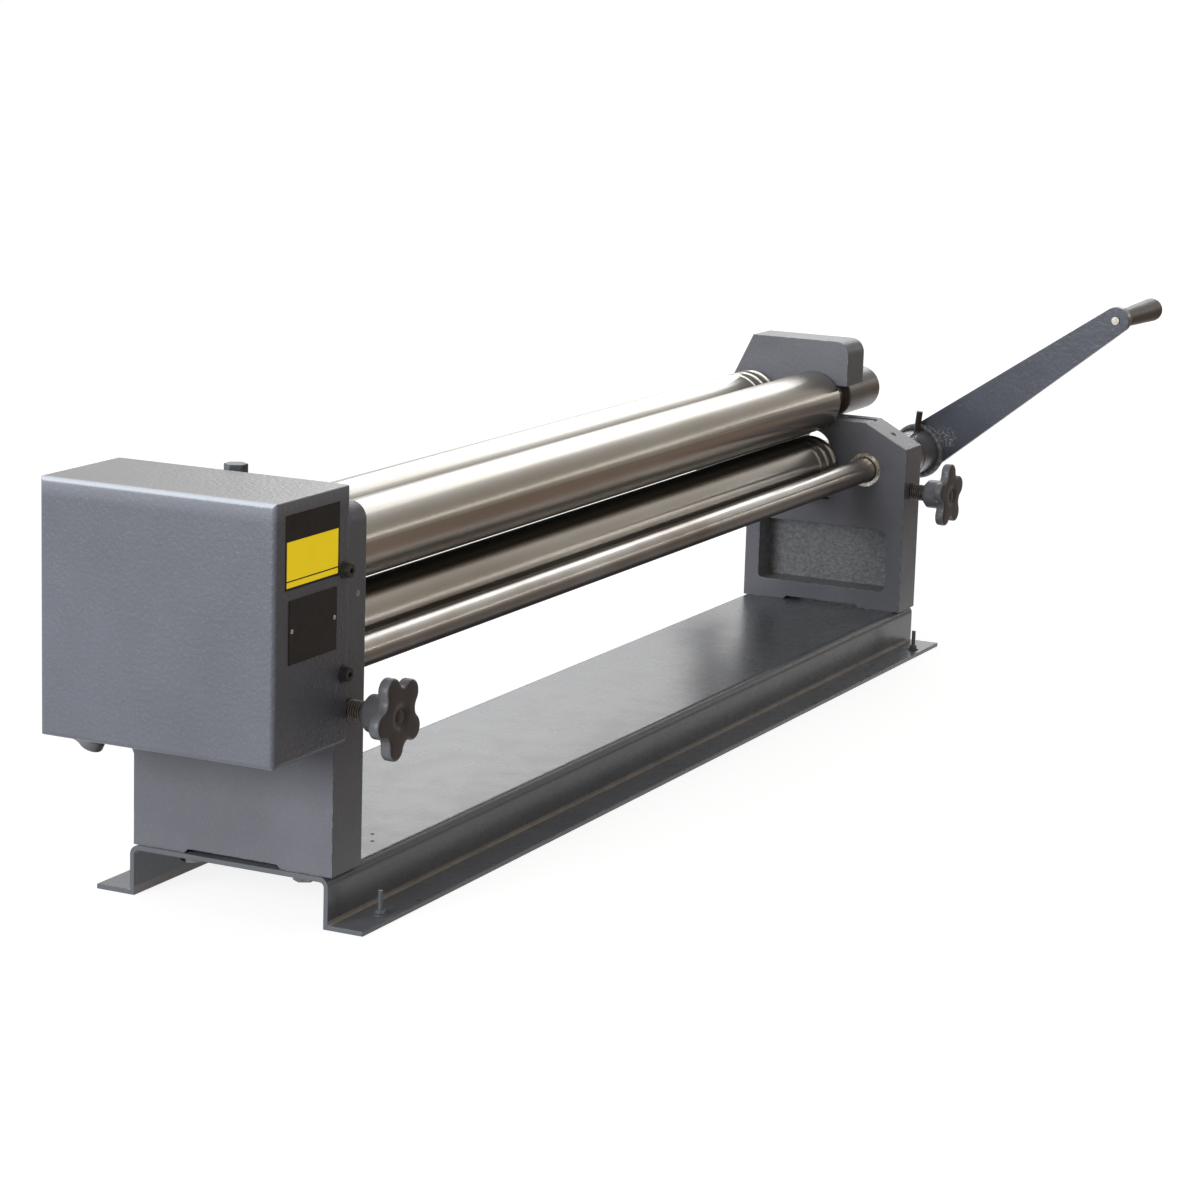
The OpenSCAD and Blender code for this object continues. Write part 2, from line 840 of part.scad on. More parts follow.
// LIFTING WEDGES: pushed in under the blocks by the front screws
module lift_wedge(mid) {
    back_y = roll_y + wedge_back_len;
    color("gray")
        difference() {
            along_x(mid - wedge_half_w, mid + wedge_half_w)
                polygon([[wedge_front_y, bottom_slot_z0 + slide_fit / 2],
                         [back_y, bottom_slot_z0 + slide_fit / 2],
                         [back_y, wedge_top(back_y) - slide_fit / 2],
                         [wedge_front_y, wedge_top(wedge_front_y) - slide_fit / 2]]);
            facing_front(mid, wedge_front_y + spigot_len + wedge_room, lift_screw_z)
                cylinder(h = spigot_len + wedge_room + cut, r = spigot_r + run_fit);
        }
}

module lift_wedge_left() {
    lift_wedge(left_mid);
}

module lift_wedge_right() {
    lift_wedge(right_mid);
}

// FRONT SCREWS: thread in the frame, thin neck past the drive shaft, spigot in the wedge
module lift_screw(mid) {
    neck_len = wedge_front_y - thread_end_y;
    thread_len = thread_grip + front_knob_gap + knob_socket;
    color("darkgray")
        facing_front(mid, wedge_front_y - slide_fit, lift_screw_z) {
            translate([0, 0, -spigot_len])
                cylinder(h = spigot_len, r = spigot_r);
            cylinder(h = neck_len - slide_fit, r = neck_r);
            translate([0, 0, neck_len - slide_fit])
                cylinder(h = thread_len, r = screw_r);
        }
}

module lift_screw_left() {
    lift_screw(left_mid);
}

module lift_screw_right() {
    lift_screw(right_mid);
}

// Points of an arc, from angle a0 to angle a1 in degrees
function arc(at, r, a0, a1, steps) =
    [for (i = [0 : steps]) let (a = a0 + (a1 - a0) * i / steps) [at[0] + r * cos(a), at[1] + r * sin(a)]];

// Turns a point about the origin
function turned(p, a) = [p[0] * cos(a) - p[1] * sin(a), p[0] * sin(a) + p[1] * cos(a)];

// STAR KNOBS: round lobes joined by arcs that are tangent to both
module star_outline(edge) {
    lobe = star_r * star_lobe_share - edge;
    ring = star_r - star_r * star_lobe_share;
    valley = star_r * star_valley_share - edge;
    half_turn = 180 / star_count;
    arc_r = (ring * ring + valley * valley - 2 * ring * valley * cos(half_turn) - lobe * lobe)
            / (2 * (lobe + ring * cos(half_turn) - valley));
    arc_at = turned([valley + arc_r, 0], half_turn);
    tangent = atan2(arc_at[1], arc_at[0] - ring);
    one_lobe = concat(arc([ring, 0], lobe, -tangent, tangent, lobe_steps),
                      arc(arc_at, arc_r, 180 + tangent, 180 + 2 * half_turn - tangent, valley_steps));
    polygon([for (k = [0 : star_count - 1], i = [0 : len(one_lobe) - 2])
             if (i != lobe_steps + 1) turned(one_lobe[i], 2 * k * half_turn)]);
}

// The knob stands on its hub at zero and points up to its face
module star_knob(turn) {
    difference() {
        union() {
            rotate_extrude()
                polygon([[0, 0], [knob_neck_r, 0], [knob_hub_r, knob_neck_len],
                         [knob_hub_r, knob_hub_len + star_edge], [0, knob_hub_len + star_edge]]);
            rotate(turn) {
                translate([0, 0, knob_hub_len])
                    linear_extrude(height = star_t)
                        star_outline(star_edge);
                translate([0, 0, knob_hub_len + star_edge])
                    linear_extrude(height = star_t - 2 * star_edge)
                        star_outline(0);
            }
        }
        translate([0, 0, -cut])
            cylinder(h = knob_socket + cut, r = screw_r + seat_fit);
        translate([0, 0, knob_hub_len + star_t - knob_dish_depth])
            cylinder(h = knob_dish_depth + cut, r = knob_dish_r);
    }
}

module front_knob_left() {
    color("dimgray")
        facing_front(left_mid, -front_reach - front_knob_gap, lift_screw_z)
            star_knob(front_star_angle_left);
}

module front_knob_right() {
    color("dimgray")
        facing_front(right_mid, -front_reach - front_knob_gap, lift_screw_z)
            star_knob(front_star_angle_right);
}

module rear_knob_left() {
    color("dimgray")
        down_slot(left_mid, rear_arm_len + rear_knob_gap)
            star_knob(rear_star_angle);
}

module rear_knob_right() {
    color("dimgray")
        down_slot(right_mid, rear_arm_len + rear_knob_gap)
            star_knob(rear_star_angle);
}

// REAR ROLL BLOCKS: slide down the inclined slots on their own screws
module rear_block(mid) {
    half = rear_slot_half - slide_fit;
    reach = frame_t / 2 - block_inset;
    color("gray")
        difference() {
            along_x(mid - reach, mid + reach)
                in_slot_plane()
                    difference() {
                        union() {
                            circle(half);
                            translate([0, -half])
                                square([rear_block_len, 2 * half]);
                        }
                        circle(journal_r + bush_wall + seat_fit);
                    }
            down_slot(mid, rear_block_len - spigot_len / 2)
                cylinder(h = spigot_len, r = spigot_r + run_fit);
        }
}

module rear_block_left() {
    rear_block(left_mid);
}

module rear_block_right() {
    rear_block(right_mid);
}

module rear_bush_left() {
    color("goldenrod")
        flanged_bush(left_mid, 1, rear_y, rear_z);
}

module rear_bush_right() {
    color("goldenrod")
        flanged_bush(right_mid, -1, rear_y, rear_z);
}

module rear_screw(mid) {
    screw_len = rear_arm_len - rear_block_len + rear_knob_gap + knob_socket;
    color("darkgray")
        down_slot(mid, rear_block_len + slide_fit) {
            translate([0, 0, -spigot_len / 2])
                cylinder(h = spigot_len / 2 + cut, r = spigot_r);
            cylinder(h = screw_len - 2 * slide_fit, r = screw_r);
        }
}

module rear_screw_left() {
    rear_screw(left_mid);
}

module rear_screw_right() {
    rear_screw(right_mid);
}

// GEARS: involute teeth, thinned for the play that the moving bottom roll needs
function involute(a) = tan(a) * 180 / PI - a;

function tooth_half_angle(teeth, r) =
    let (base_r = teeth * gear_m / 2 * cos(pressure_angle))
    90 / teeth * (1 - backlash_share) + involute(pressure_angle)
    - (r > base_r ? involute(acos(base_r / r)) : 0);

// One outline point for every step up and down the flanks of every tooth
module gear_outline(teeth, tip_r, root_r) {
    base_r = teeth * gear_m / 2 * cos(pressure_angle);
    low_r = max(base_r, root_r + root_step_share * gear_m);
    radii = concat([root_r],
                   [for (i = [0 : flank_steps - 1]) low_r + (tip_r - low_r) * i / (flank_steps - 1)]);
    last = len(radii) - 1;
    polygon([for (t = [0 : teeth - 1], i = [0 : 2 * last + 1])
             let (r = radii[i <= last ? i : 2 * last + 1 - i],
                  a = t * 360 / teeth + (i <= last ? -1 : 1) * tooth_half_angle(teeth, r))
             [r * cos(a), r * sin(a)]]);
}

// A toothed wheel along X whose first tooth points at the angle turn from Y towards Z
module gear(x0, x1, teeth, tip_r, root_r, turn, y, z) {
    along_x(x0, x1)
        translate([y, z])
            rotate(turn)
                gear_outline(teeth, tip_r, root_r);
}

module top_pinch_gear() {
    color("darkslategray")
        difference() {
            gear(pinch_x0, pinch_x1, pinch_teeth, pinch_tip_r, pinch_root_r, -90, roll_y, top_z);
            rod_x(pinch_x0 - cut, pinch_x1 + cut, gear_seat_r + seat_fit, roll_y, top_z);
            key_slot(pinch_x0 - cut, pinch_x1 + cut, gear_seat_r, roll_y, top_z);
        }
}

module bottom_pinch_gear() {
    half_pitch = 180 / pinch_teeth;
    color("darkslategray")
        difference() {
            gear(pinch_x0, pinch_x1, pinch_teeth, pinch_tip_r, pinch_root_r, 90 + half_pitch,
                 roll_y, bottom_z);
            rod_x(pinch_x0 - cut, pinch_x1 + cut, gear_seat_r + seat_fit, roll_y, bottom_z);
            key_slot(pinch_x0 - cut, pinch_x1 + cut, gear_seat_r, roll_y, bottom_z);
        }
}

// Direction from the drive shaft to the top roll
mesh_angle = atan2(top_z - drive_z, roll_y + drive_reach);

module top_drive_gear() {
    half_pitch = 180 / drive_teeth;
    web_cut = (gear_w - wheel_web_w) / 2;
    color("darkslategray")
        difference() {
            gear(drive_x0, drive_x1, drive_teeth, wheel_tip_r, wheel_root_r,
                 mesh_angle + 180 + half_pitch, roll_y, top_z);
            for (x = [drive_x0 - cut, drive_x1 - web_cut])
                tube_x(x, x + web_cut + cut, wheel_root_r - wheel_rim, wheel_hub_r, roll_y, top_z);
            for (i = [0 : wheel_hole_count - 1])
                wheel_hole(i * 360 / wheel_hole_count);
            rod_x(drive_x0 - cut, drive_x1 + cut, gear_seat_r + seat_fit, roll_y, top_z);
            key_slot(drive_x0 - cut, drive_x1 + cut, gear_seat_r, roll_y, top_z);
        }
}

// A lightening hole half way across the web of the driven wheel
module wheel_hole(angle) {
    at = (wheel_hub_r + wheel_root_r - wheel_rim) / 2;
    rod_x(drive_x0 - cut, drive_x1 + cut, wheel_hole_r, roll_y + at * cos(angle), top_z + at * sin(angle));
}

module top_gear_spacer() {
    color("silver")
        difference() {
            tube_x(drive_x1, pinch_x0, top_journal_r, gear_seat_r + seat_fit, roll_y, top_z);
            key_slot(drive_x0, pinch_x1, gear_seat_r, roll_y, top_z);
        }
}

module top_gear_key() {
    color("silver")
        key_bar(drive_x0, pinch_x1, gear_seat_r, roll_y, top_z);
}

module top_gear_nut() {
    color("silver")
        difference() {
            translate([drive_x0 - gear_nut_t, roll_y, top_z])
                rotate([0, 90, 0])
                    cylinder(h = gear_nut_t, r = gear_nut_r, $fn = 6);
            rod_x(drive_x0 - gear_nut_t - cut, drive_x0 + cut, gear_seat_r + seat_fit, roll_y, top_z);
        }
}

module bottom_gear_key() {
    color("silver")
        key_bar(pinch_x0, pinch_x1, gear_seat_r, roll_y, bottom_z);
}

module bottom_gear_nut() {
    color("silver")
        tube_x(pinch_x0 - ring_nut_t, pinch_x0, ring_nut_r, gear_seat_r + seat_fit, roll_y, bottom_z);
}

// DRIVE SHAFT, its bushes and what is fixed to it
module shaft_bush(x0, x1) {
    bore_r = shaft_r + run_fit;
    len_x = x1 - x0;
    translate([x0, -drive_reach, drive_z])
        rotate([0, 90, 0])
            rotate_extrude()
                polygon([[bore_r, shaft_bush_chamfer], [bore_r + shaft_bush_chamfer, 0], [shaft_bush_r, 0],
                         [shaft_bush_r, len_x], [bore_r + shaft_bush_chamfer, len_x],
                         [bore_r, len_x - shaft_bush_chamfer]]);
}

module shaft_bushes(outer, inner) {
    color("goldenrod") {
        shaft_bush(outer, outer + shaft_bush_len);
        shaft_bush(inner - shaft_bush_len, inner);
    }
}

module shaft_bushes_left() {
    shaft_bushes(left_outer, left_inner);
}

module shaft_bushes_right() {
    shaft_bushes(right_inner, right_outer);
}

module drive_shaft() {
    tail_x = drive_x0 - gear_nut_t - shaft_tail;
    color("gray")
        difference() {
            union() {
                rod_x(drive_x1, arm_x1, shaft_r, -drive_reach, drive_z);
                rod_x(tail_x, drive_x1, pinion_seat_r, -drive_reach, drive_z);
            }
            key_slot(drive_x0, drive_x1, pinion_seat_r, -drive_reach, drive_z);
        }
}

module shaft_collar() {
    x1 = left_outer - shaft_collar_gap;
    color("gray")
        difference() {
            tube_x(x1 - shaft_collar_w, x1, shaft_collar_r, shaft_r + seat_fit, -drive_reach, drive_z);
            facing_front(x1 - shaft_collar_w / 2, -drive_reach, drive_z)
                cylinder(h = shaft_collar_r + cut, r = set_hole_r);
        }
}

module drive_pinion() {
    color("darkslategray")
        difference() {
            gear(drive_x0, drive_x1, pinion_teeth, pinion_tip_r, pinion_root_r, mesh_angle,
                 -drive_reach, drive_z);
            rod_x(drive_x0 - cut, drive_x1 + cut, pinion_seat_r + seat_fit, -drive_reach, drive_z);
            key_slot(drive_x0 - cut, drive_x1 + cut, pinion_seat_r, -drive_reach, drive_z);
        }
}

module pinion_key() {
    color("silver")
        key_bar(drive_x0, drive_x1, pinion_seat_r, -drive_reach, drive_z);
}

module pinion_nut() {
    color("silver")
        difference() {
            translate([drive_x0 - gear_nut_t, -drive_reach, drive_z])
                rotate([0, 90, 0])
                    cylinder(h = gear_nut_t, r = pinion_nut_r, $fn = 6);
            rod_x(drive_x0 - gear_nut_t - cut, drive_x0 + cut, pinion_seat_r + seat_fit,
                  -drive_reach, drive_z);
        }
}

// CRANK: a collar, a hub welded to a tapered flat arm, and a turning grip
module crank_collar() {
    color("midnightblue")
        translate([collar_x0, -drive_reach, drive_z])
            rotate([0, 90, 0])
                rotate_extrude()
                    polygon([[shaft_r + seat_fit, 0], [crank_hub_r - collar_chamfer, 0],
                             [crank_hub_r, collar_chamfer], [crank_hub_r, collar_len - collar_chamfer],
                             [crank_hub_r - collar_chamfer, collar_len], [shaft_r + seat_fit, collar_len]]);
}

// Turns its children so that their Y axis points from the shaft to the grip
module along_arm() {
    translate([0, -drive_reach, drive_z])
        rotate([180 - crank_angle, 0, 0])
            children();
}

// The tapered arm: two round ends and the straight sides tangent to both
module arm_outline() {
    lean = asin((crank_root_half - crank_tip_half) / crank_len);
    polygon(concat(arc([crank_len, 0], crank_tip_half, -90 + lean, 90 - lean, end_steps),
                   arc([0, 0], crank_root_half, 90 - lean, 270 + lean, end_steps)));
}

module crank() {
    color("midnightblue")
        difference() {
            union() {
                along_arm()
                    along_x(arm_x0, arm_x1)
                        arm_outline();
                rod_x(hub_x0, arm_x0 + cut, crank_hub_r, -drive_reach, drive_z);
                translate([arm_x0 - weld_w, -drive_reach, drive_z])
                    rotate([0, 90, 0])
                        rotate_extrude()
                            polygon([[0, 0], [crank_hub_r, 0], [weld_r, weld_w], [weld_r, weld_w + cut],
                                     [0, weld_w + cut]]);
            }
            rod_x(hub_x0 - cut, arm_x1 + cut, shaft_r + seat_fit, -drive_reach, drive_z);
            along_arm()
                rod_x(arm_x0 - cut, arm_x1 + cut, rivet_r + seat_fit, crank_len, 0);
            pin_place()
                cylinder(h = pin_reach, r = pin_r + seat_fit);
        }
}

// Stands its children on the drive shaft inside the crank hub, leaning to the front
module pin_place() {
    translate([arm_x0 - weld_w - pin_back, -drive_reach, drive_z])
        rotate([pin_lean, 0, 0])
            translate([0, 0, shaft_r + 2 * seat_fit])
                children();
}

module crank_pin() {
    color("black")
        intersection() {
            pin_place()
                translate([0, 0, seat_fit + run_fit])
                    cylinder(h = pin_reach - shaft_r - 2 * seat_fit, r = pin_r);
            translate([hub_x0, -drive_reach - base_h, drive_z + shaft_r])
                cube([hub_len, 2 * base_h, pin_reach]);
        }
}

module grip_spindle() {
    color("silver")
        along_arm() {
            rod_x(arm_x0 - rivet_proud, arm_x1, rivet_r, crank_len, 0);
            rod_x(arm_x1, arm_x1 + spindle_collar_len, spindle_collar_r, crank_len, 0);
            rod_x(arm_x1 + spindle_collar_len, grip_x0 + grip_len - grip_bore_room - shaft_play, spindle_r,
                  crank_len, 0);
        }
}

module grip_washer() {
    color("peru")
        along_arm()
            tube_x(arm_x1 + spindle_collar_len, grip_x0 - grip_gap, grip_washer_r, spindle_r + seat_fit,
                   crank_len, 0);
}

// The grip swells from its root to near its end, which is rounded
module grip_outline() {
    swell_share = 0.84;
    end_r = grip_r * swell_share;
    end_h = grip_len - end_r;
    difference() {
        union() {
            polygon([[0, 0], [grip_root_r, 0], [grip_r, end_h], [0, end_h]]);
            translate([0, end_h])
                scale([grip_r / end_r, 1])
                    intersection() {
                        circle(end_r);
                        square(end_r);
                    }
        }
        translate([-cut, -cut])
            square([spindle_r + run_fit + cut, grip_len - grip_bore_room + cut]);
    }
}

module grip() {
    color("saddlebrown")
        along_arm()
            translate([grip_x0, crank_len, 0])
                rotate([0, 90, 0])
                    rotate_extrude()
                        grip_outline();
}

// LOCK SLEEVE: slides along the end of the top roll into its seat in the right frame
module lock_sleeve() {
    rim = 1.5;
    color("lightslategray")
        translate([sleeve_x0, roll_y, top_z])
            rotate([0, 90, 0])
                rotate_extrude()
                    polygon([[sleeve_bore_r, 0], [sleeve_r - rim, 0], [sleeve_r, rim],
                             [sleeve_r, sleeve_len - rim], [sleeve_r - rim, sleeve_len],
                             [sleeve_bore_r, sleeve_len]]);
}

// GEAR COVER: a pressed steel box with a lip turned in along its lower edge
module cover_block(inset) {
    x0 = left_outer + cover_lap - cover_w + inset;
    x1 = left_outer + cover_lap + (inset > 0 ? cut : 0);
    y0 = -front_reach - cover_t + inset;
    y1 = cover_back - inset;
    z0 = cover_bottom_z + inset;
    z1 = cover_top_z - inset;
    r = cover_bend_r - inset;
    intersection() {
        along_x(x0, x1)
            difference() {
                translate([y0, z0])
                    square([y1 - y0, z1 - z0]);
                corner([y1, z1], cover_fold_r, 0);
                corner([y0, z1], cover_fold_r, 90);
                corner([y0, z0], r, 180);
                corner([y1, z0], r, 270);
            }
        translate([0, 0, z0])
            linear_extrude(height = z1 - z0)
                difference() {
                    translate([x0, y0])
                        square([x1 - x0, y1 - y0]);
                    corner([x0, y1], r, 90);
                    corner([x0, y0], r, 180);
                }
        translate([0, y1, 0])
            rotate([90, 0, 0])
                linear_extrude(height = y1 - y0)
                    difference() {
                        translate([x0, z0])
                            square([x1 - x0, z1 - z0]);
                        corner([x0, z1], r, 90);
                        corner([x0, z0], r, 180);
                    }
    }
}

module gear_cover() {
    screw_x = left_outer + cover_screw_inset;
    edge_x = left_outer + cover_lap;
    front_y = -front_reach - cover_t;
    color("slategray")
        difference() {
            cover_block(0);
            cover_block(cover_t);
            translate([edge_x - cover_w + cover_lip, front_y + cover_lip, cover_bottom_z - cut])
                cube([cover_w, cover_back - front_y - 2 * cover_lip, cover_t + 2 * cut]);
            translate([left_outer, -front_reach, cover_bottom_z - cut])
                cube([cover_lap + cut, front_reach + cover_back + cut,
                      left_top_z - cover_bottom_z + 2 * cut]);
            for (z = cover_screw_zs)
                facing_front(screw_x, -front_reach + cut, z)
                    cylinder(h = cover_t + 2 * cut, r = cover_slot_r);
            translate([screw_x, -front_reach - cover_t - cut, cover_screw_zs[1] - cover_slot_r])
                cube([edge_x - screw_x + cut, cover_t + 2 * cut, 2 * cover_slot_r]);
        }
}

// Socket head screws with washers, through the lap of the cover into the frame
module cover_screws() {
    face_y = -front_reach - cover_t;
    color("silver")
        for (z = cover_screw_zs)
            facing_front(left_outer + cover_screw_inset, face_y, z) {
                translate([0, 0, -cover_t - cover_screw_reach])
                    cylinder(h = cover_t + cover_screw_reach, r = cover_screw_r);
                cylinder(h = cover_screw_washer_t, r = cover_screw_washer_r);
                translate([0, 0, cover_screw_washer_t])
                    difference() {
                        cylinder(h = cover_screw_head_t, r = cover_screw_head_r);
                        translate([0, 0, cover_screw_head_t / 2])
                            cylinder(h = cover_screw_head_t, r = cover_screw_socket_r, $fn = 6);
                    }
            }
}

base_channel();
left_frame();
right_frame();
frame_bolts();
gear_cover();
cover_screws();
swivel_block();
swivel_bush();
pivot_bolt();
pivot_locknut();
shaft_bushes_left();
shaft_bushes_right();
oilers();
top_roll();
top_pinch_gear();
top_drive_gear();
top_gear_spacer();
top_gear_key();
top_gear_nut();
bottom_block_left();
bottom_block_right();
bottom_bush_left();
bottom_bush_right();
bottom_roll();
bottom_pinch_gear();
bottom_gear_key();
bottom_gear_nut();
lift_wedge_left();
lift_wedge_right();
lift_screw_left();
lift_screw_right();
front_knob_left();
front_knob_right();
rear_block_left();
rear_block_right();
rear_bush_left();
rear_bush_right();
rear_roll();
rear_screw_left();
rear_screw_right();
rear_knob_left();
rear_knob_right();
drive_shaft();
shaft_collar();
drive_pinion();
pinion_key();
pinion_nut();
crank_collar();
crank();
crank_pin();
grip_spindle();
grip_washer();
grip();
lock_sleeve();
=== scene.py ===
"""A hand cranked slip roll for sheet metal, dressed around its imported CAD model.

The sections follow the machine as it is put together: where it stands, base, end frames, rolls,
gears, adjusters, crank, gear cover and its plates. Lengths are in metres.
"""
import math

import bpy
import numpy as np
from mathutils import Matrix, Vector


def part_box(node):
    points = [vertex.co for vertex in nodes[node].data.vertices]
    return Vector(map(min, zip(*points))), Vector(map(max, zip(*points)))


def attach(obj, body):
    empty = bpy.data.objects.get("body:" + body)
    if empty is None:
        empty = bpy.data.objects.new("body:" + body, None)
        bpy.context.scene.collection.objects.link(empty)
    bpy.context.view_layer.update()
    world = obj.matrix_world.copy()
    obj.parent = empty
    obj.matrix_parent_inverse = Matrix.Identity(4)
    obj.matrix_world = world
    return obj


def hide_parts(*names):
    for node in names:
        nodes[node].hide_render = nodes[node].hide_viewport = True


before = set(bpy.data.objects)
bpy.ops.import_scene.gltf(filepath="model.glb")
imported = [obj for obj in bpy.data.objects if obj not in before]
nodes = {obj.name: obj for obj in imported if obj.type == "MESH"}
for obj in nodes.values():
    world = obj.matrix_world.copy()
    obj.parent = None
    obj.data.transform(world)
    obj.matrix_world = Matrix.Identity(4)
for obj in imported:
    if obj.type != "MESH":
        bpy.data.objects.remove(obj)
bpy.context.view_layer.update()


# WHERE IT STANDS. The camera was solved from the square edges of the base and frames: it looks
# along the rolls from the gear cover end, a little from above, through a long lens. White paper
# lies under and behind the machine, and the room in front of it is brown and dim. One broad lamp
# stands at the cover end, one far beyond the crank, and a strip in front draws a line on the rolls.
CAMERA_AT = Vector((-3.2757, -1.6137, 0.9228))
CAMERA_YAW = math.radians(25.98)
CAMERA_PITCH = math.radians(-11.69)
CAMERA_ROLL = math.radians(1.76)
PHOTO_SIZE = 1200
FOCAL_PIXELS = 3431
SENSOR_WIDTH = 36.0
SKY_ON_OBJECT = 0.46
DIM_ROOM = (0.40, 0.355, 0.30)
FLOOR_PAPER = (0.36, 0.36, 0.36)
FLOOR_BOUNCE = (0.4, 0.4, 0.41)
FLOOR_BEYOND = (0.20, 0.15, 0.125)
FLOOR_GLOW = 0.85
FLOOR_REACH = 30


def camera_matrix():
    """Forward is the unit vector at the yaw and pitch, right is forward crossed with up, and both
    right and up are then turned about forward by the roll."""
    forward = Vector((math.cos(CAMERA_PITCH) * math.cos(CAMERA_YAW),
                      math.cos(CAMERA_PITCH) * math.sin(CAMERA_YAW), math.sin(CAMERA_PITCH)))
    right = forward.cross(Vector((0, 0, 1))).normalized()
    up = right.cross(forward)
    turned_right = right * math.cos(CAMERA_ROLL) + up * math.sin(CAMERA_ROLL)
    turned_up = up * math.cos(CAMERA_ROLL) - right * math.sin(CAMERA_ROLL)
    turn = Matrix((turned_right, turned_up, -forward)).transposed()
    return Matrix.Translation(CAMERA_AT) @ turn.to_4x4()


camera = bpy.data.objects.new("camera", bpy.data.cameras.new("camera"))
camera.data.sensor_width = SENSOR_WIDTH
camera.data.lens = FOCAL_PIXELS / PHOTO_SIZE * SENSOR_WIDTH
camera.data.clip_end = 60
camera.matrix_world = camera_matrix()
bpy.context.scene.collection.objects.link(camera)
bpy.context.scene.camera = camera
bpy.context.scene.view_settings.view_transform = "Standard"


def softbox(name, at, aim, width, depth, power, shine=1.0):
    """An area lamp whose face points from its place to its aim; shine is its share in highlights."""
    lamp = bpy.data.lights.new(name, "AREA")
    lamp.shape = "RECTANGLE"
    lamp.size = width
    lamp.size_y = depth
    lamp.energy = power
    lamp.specular_factor = shine
    holder = bpy.data.objects.new(name, lamp)
    holder.location = at
    holder.rotation_euler = (Vector(aim) - Vector(at)).to_track_quat("-Z", "Y").to_euler()
    bpy.context.scene.collection.objects.link(holder)


softbox("key", (-5.5, 1.2, 1.75), (-0.75, 0, 0.2), 3.2, 2.4, 172)
softbox("beyond", (5.0, 1.6, 2.6), (0, 0, 0.3), 3.2, 2.2, 55, 0.15)
softbox("strip", (3.6, -2.0, 0.95), (0, 0, 0.3), 4.4, 0.12, 5)


def reckon(tree, operation, first, second=None, held=False):
    """One sum on shares: operation names it, second is left out where it takes only one, and the
    answer stays between nought and one if held."""
    answer = tree.nodes.new("ShaderNodeMath")
    answer.operation = operation
    answer.use_clamp = held
    tree.links.new(first, answer.inputs[0])
    if second is not None:
        tree.links.new(second, answer.inputs[1])
    return answer.outputs[0]


def product(tree, first, second):
    """The two shares multiplied together."""
    return reckon(tree, "MULTIPLY", first, second)


def split(tree, kind, output):
    """The X, Y and Z of a vector that a new node of this kind gives out."""
    parts = tree.nodes.new("ShaderNodeSeparateXYZ")
    tree.links.new(tree.nodes.new(kind).outputs[output], parts.inputs[0])
    return parts.outputs


def new_finish(name):
    """A new material, its node tree and its surface shader."""
    finish = bpy.data.materials.new(name)
    finish.use_nodes = True
    return finish, finish.node_tree, finish.node_tree.nodes["Principled BSDF"]


def seen_directly(tree):
    """The sum of the camera, glossy and transmission ray outputs, held at one."""
    path = tree.nodes.new("ShaderNodeLightPath").outputs
    mirrored = reckon(tree, "ADD", path["Is Camera Ray"], path["Is Glossy Ray"])
    return reckon(tree, "ADD", mirrored, path["Is Transmission Ray"], True)


def remap(tree, value, low, high, to_low, to_high):
    """value between low and high becomes to_low to to_high, and is held at those ends."""
    ramp = tree.nodes.new("ShaderNodeMapRange")
    ends = {"From Min": low, "From Max": high, "To Min": to_low, "To Max": to_high}
    for socket, number in ends.items():
        ramp.inputs[socket].default_value = number
    tree.links.new(value, ramp.inputs["Value"])
    return ramp.outputs["Result"]


def blended(tree, share, first, second):
    """first where share is nought and second where it is one; each is a colour or a socket."""
    mix = tree.nodes.new("ShaderNodeMix")
    mix.data_type = "RGBA"
    tree.links.new(share, mix.inputs[0])
    for socket, colour in ((mix.inputs[6], first), (mix.inputs[7], second)):
        if isinstance(colour, tuple):
            socket.default_value = (*colour, 1)
        else:
            tree.links.new(colour, socket)
    return mix.outputs[2]


world = bpy.data.worlds.new("studio")
world.use_nodes = True
bpy.context.scene.world = world
world_tree = world.node_tree
heading = split(world_tree, "ShaderNodeTexCoord", "Generated")
backwards = remap(world_tree, heading["Y"], -0.42, 0.0, 0.0, 1.0)
sky = world_tree.nodes["Background"]
world_tree.links.new(blended(world_tree, backwards, DIM_ROOM, (1, 1, 1)), sky.inputs["Color"])
world_tree.links.new(remap(world_tree, seen_directly(world_tree), 0, 1, SKY_ON_OBJECT, 1.0),
                     sky.inputs["Strength"])

floor_mesh = bpy.data.meshes.new("floor")
corners = np.array([(-1, -1, 0), (1, -1, 0), (1, 1, 0), (-1, 1, 0)]) * FLOOR_REACH
floor_mesh.from_pydata(corners.tolist(), [], [(0, 1, 2, 3)])
floor = bpy.data.objects.new("floor", floor_mesh)
bpy.context.scene.collection.objects.link(floor)
floor_paint, floor_tree, floor_shader = new_finish("floor_paint")
floor_shader.inputs["Roughness"].default_value = 0.9
floor_shader.inputs["Specular IOR Level"].default_value = 0.1
floor_at = split(floor_tree, "ShaderNodeTexCoord", "Object")
in_front = product(floor_tree, remap(floor_tree, floor_at["Y"], -0.16, -0.36, 0, 1),
                   floor_tree.nodes.new("ShaderNodeLightPath").outputs["Is Glossy Ray"])
seen = seen_directly(floor_tree)
paper = blended(floor_tree, seen, FLOOR_BOUNCE, FLOOR_PAPER)
floor_tree.links.new(blended(floor_tree, in_front, paper, FLOOR_BEYOND), floor_shader.inputs["Base Color"])
floor_tree.links.new(blended(floor_tree, in_front, (1, 1, 1), FLOOR_BEYOND),
                     floor_shader.inputs["Emission Color"])
floor_tree.links.new(remap(floor_tree, seen, 0, 1, 0, FLOOR_GLOW), floor_shader.inputs["Emission Strength"])
floor_mesh.materials.append(floor_paint)


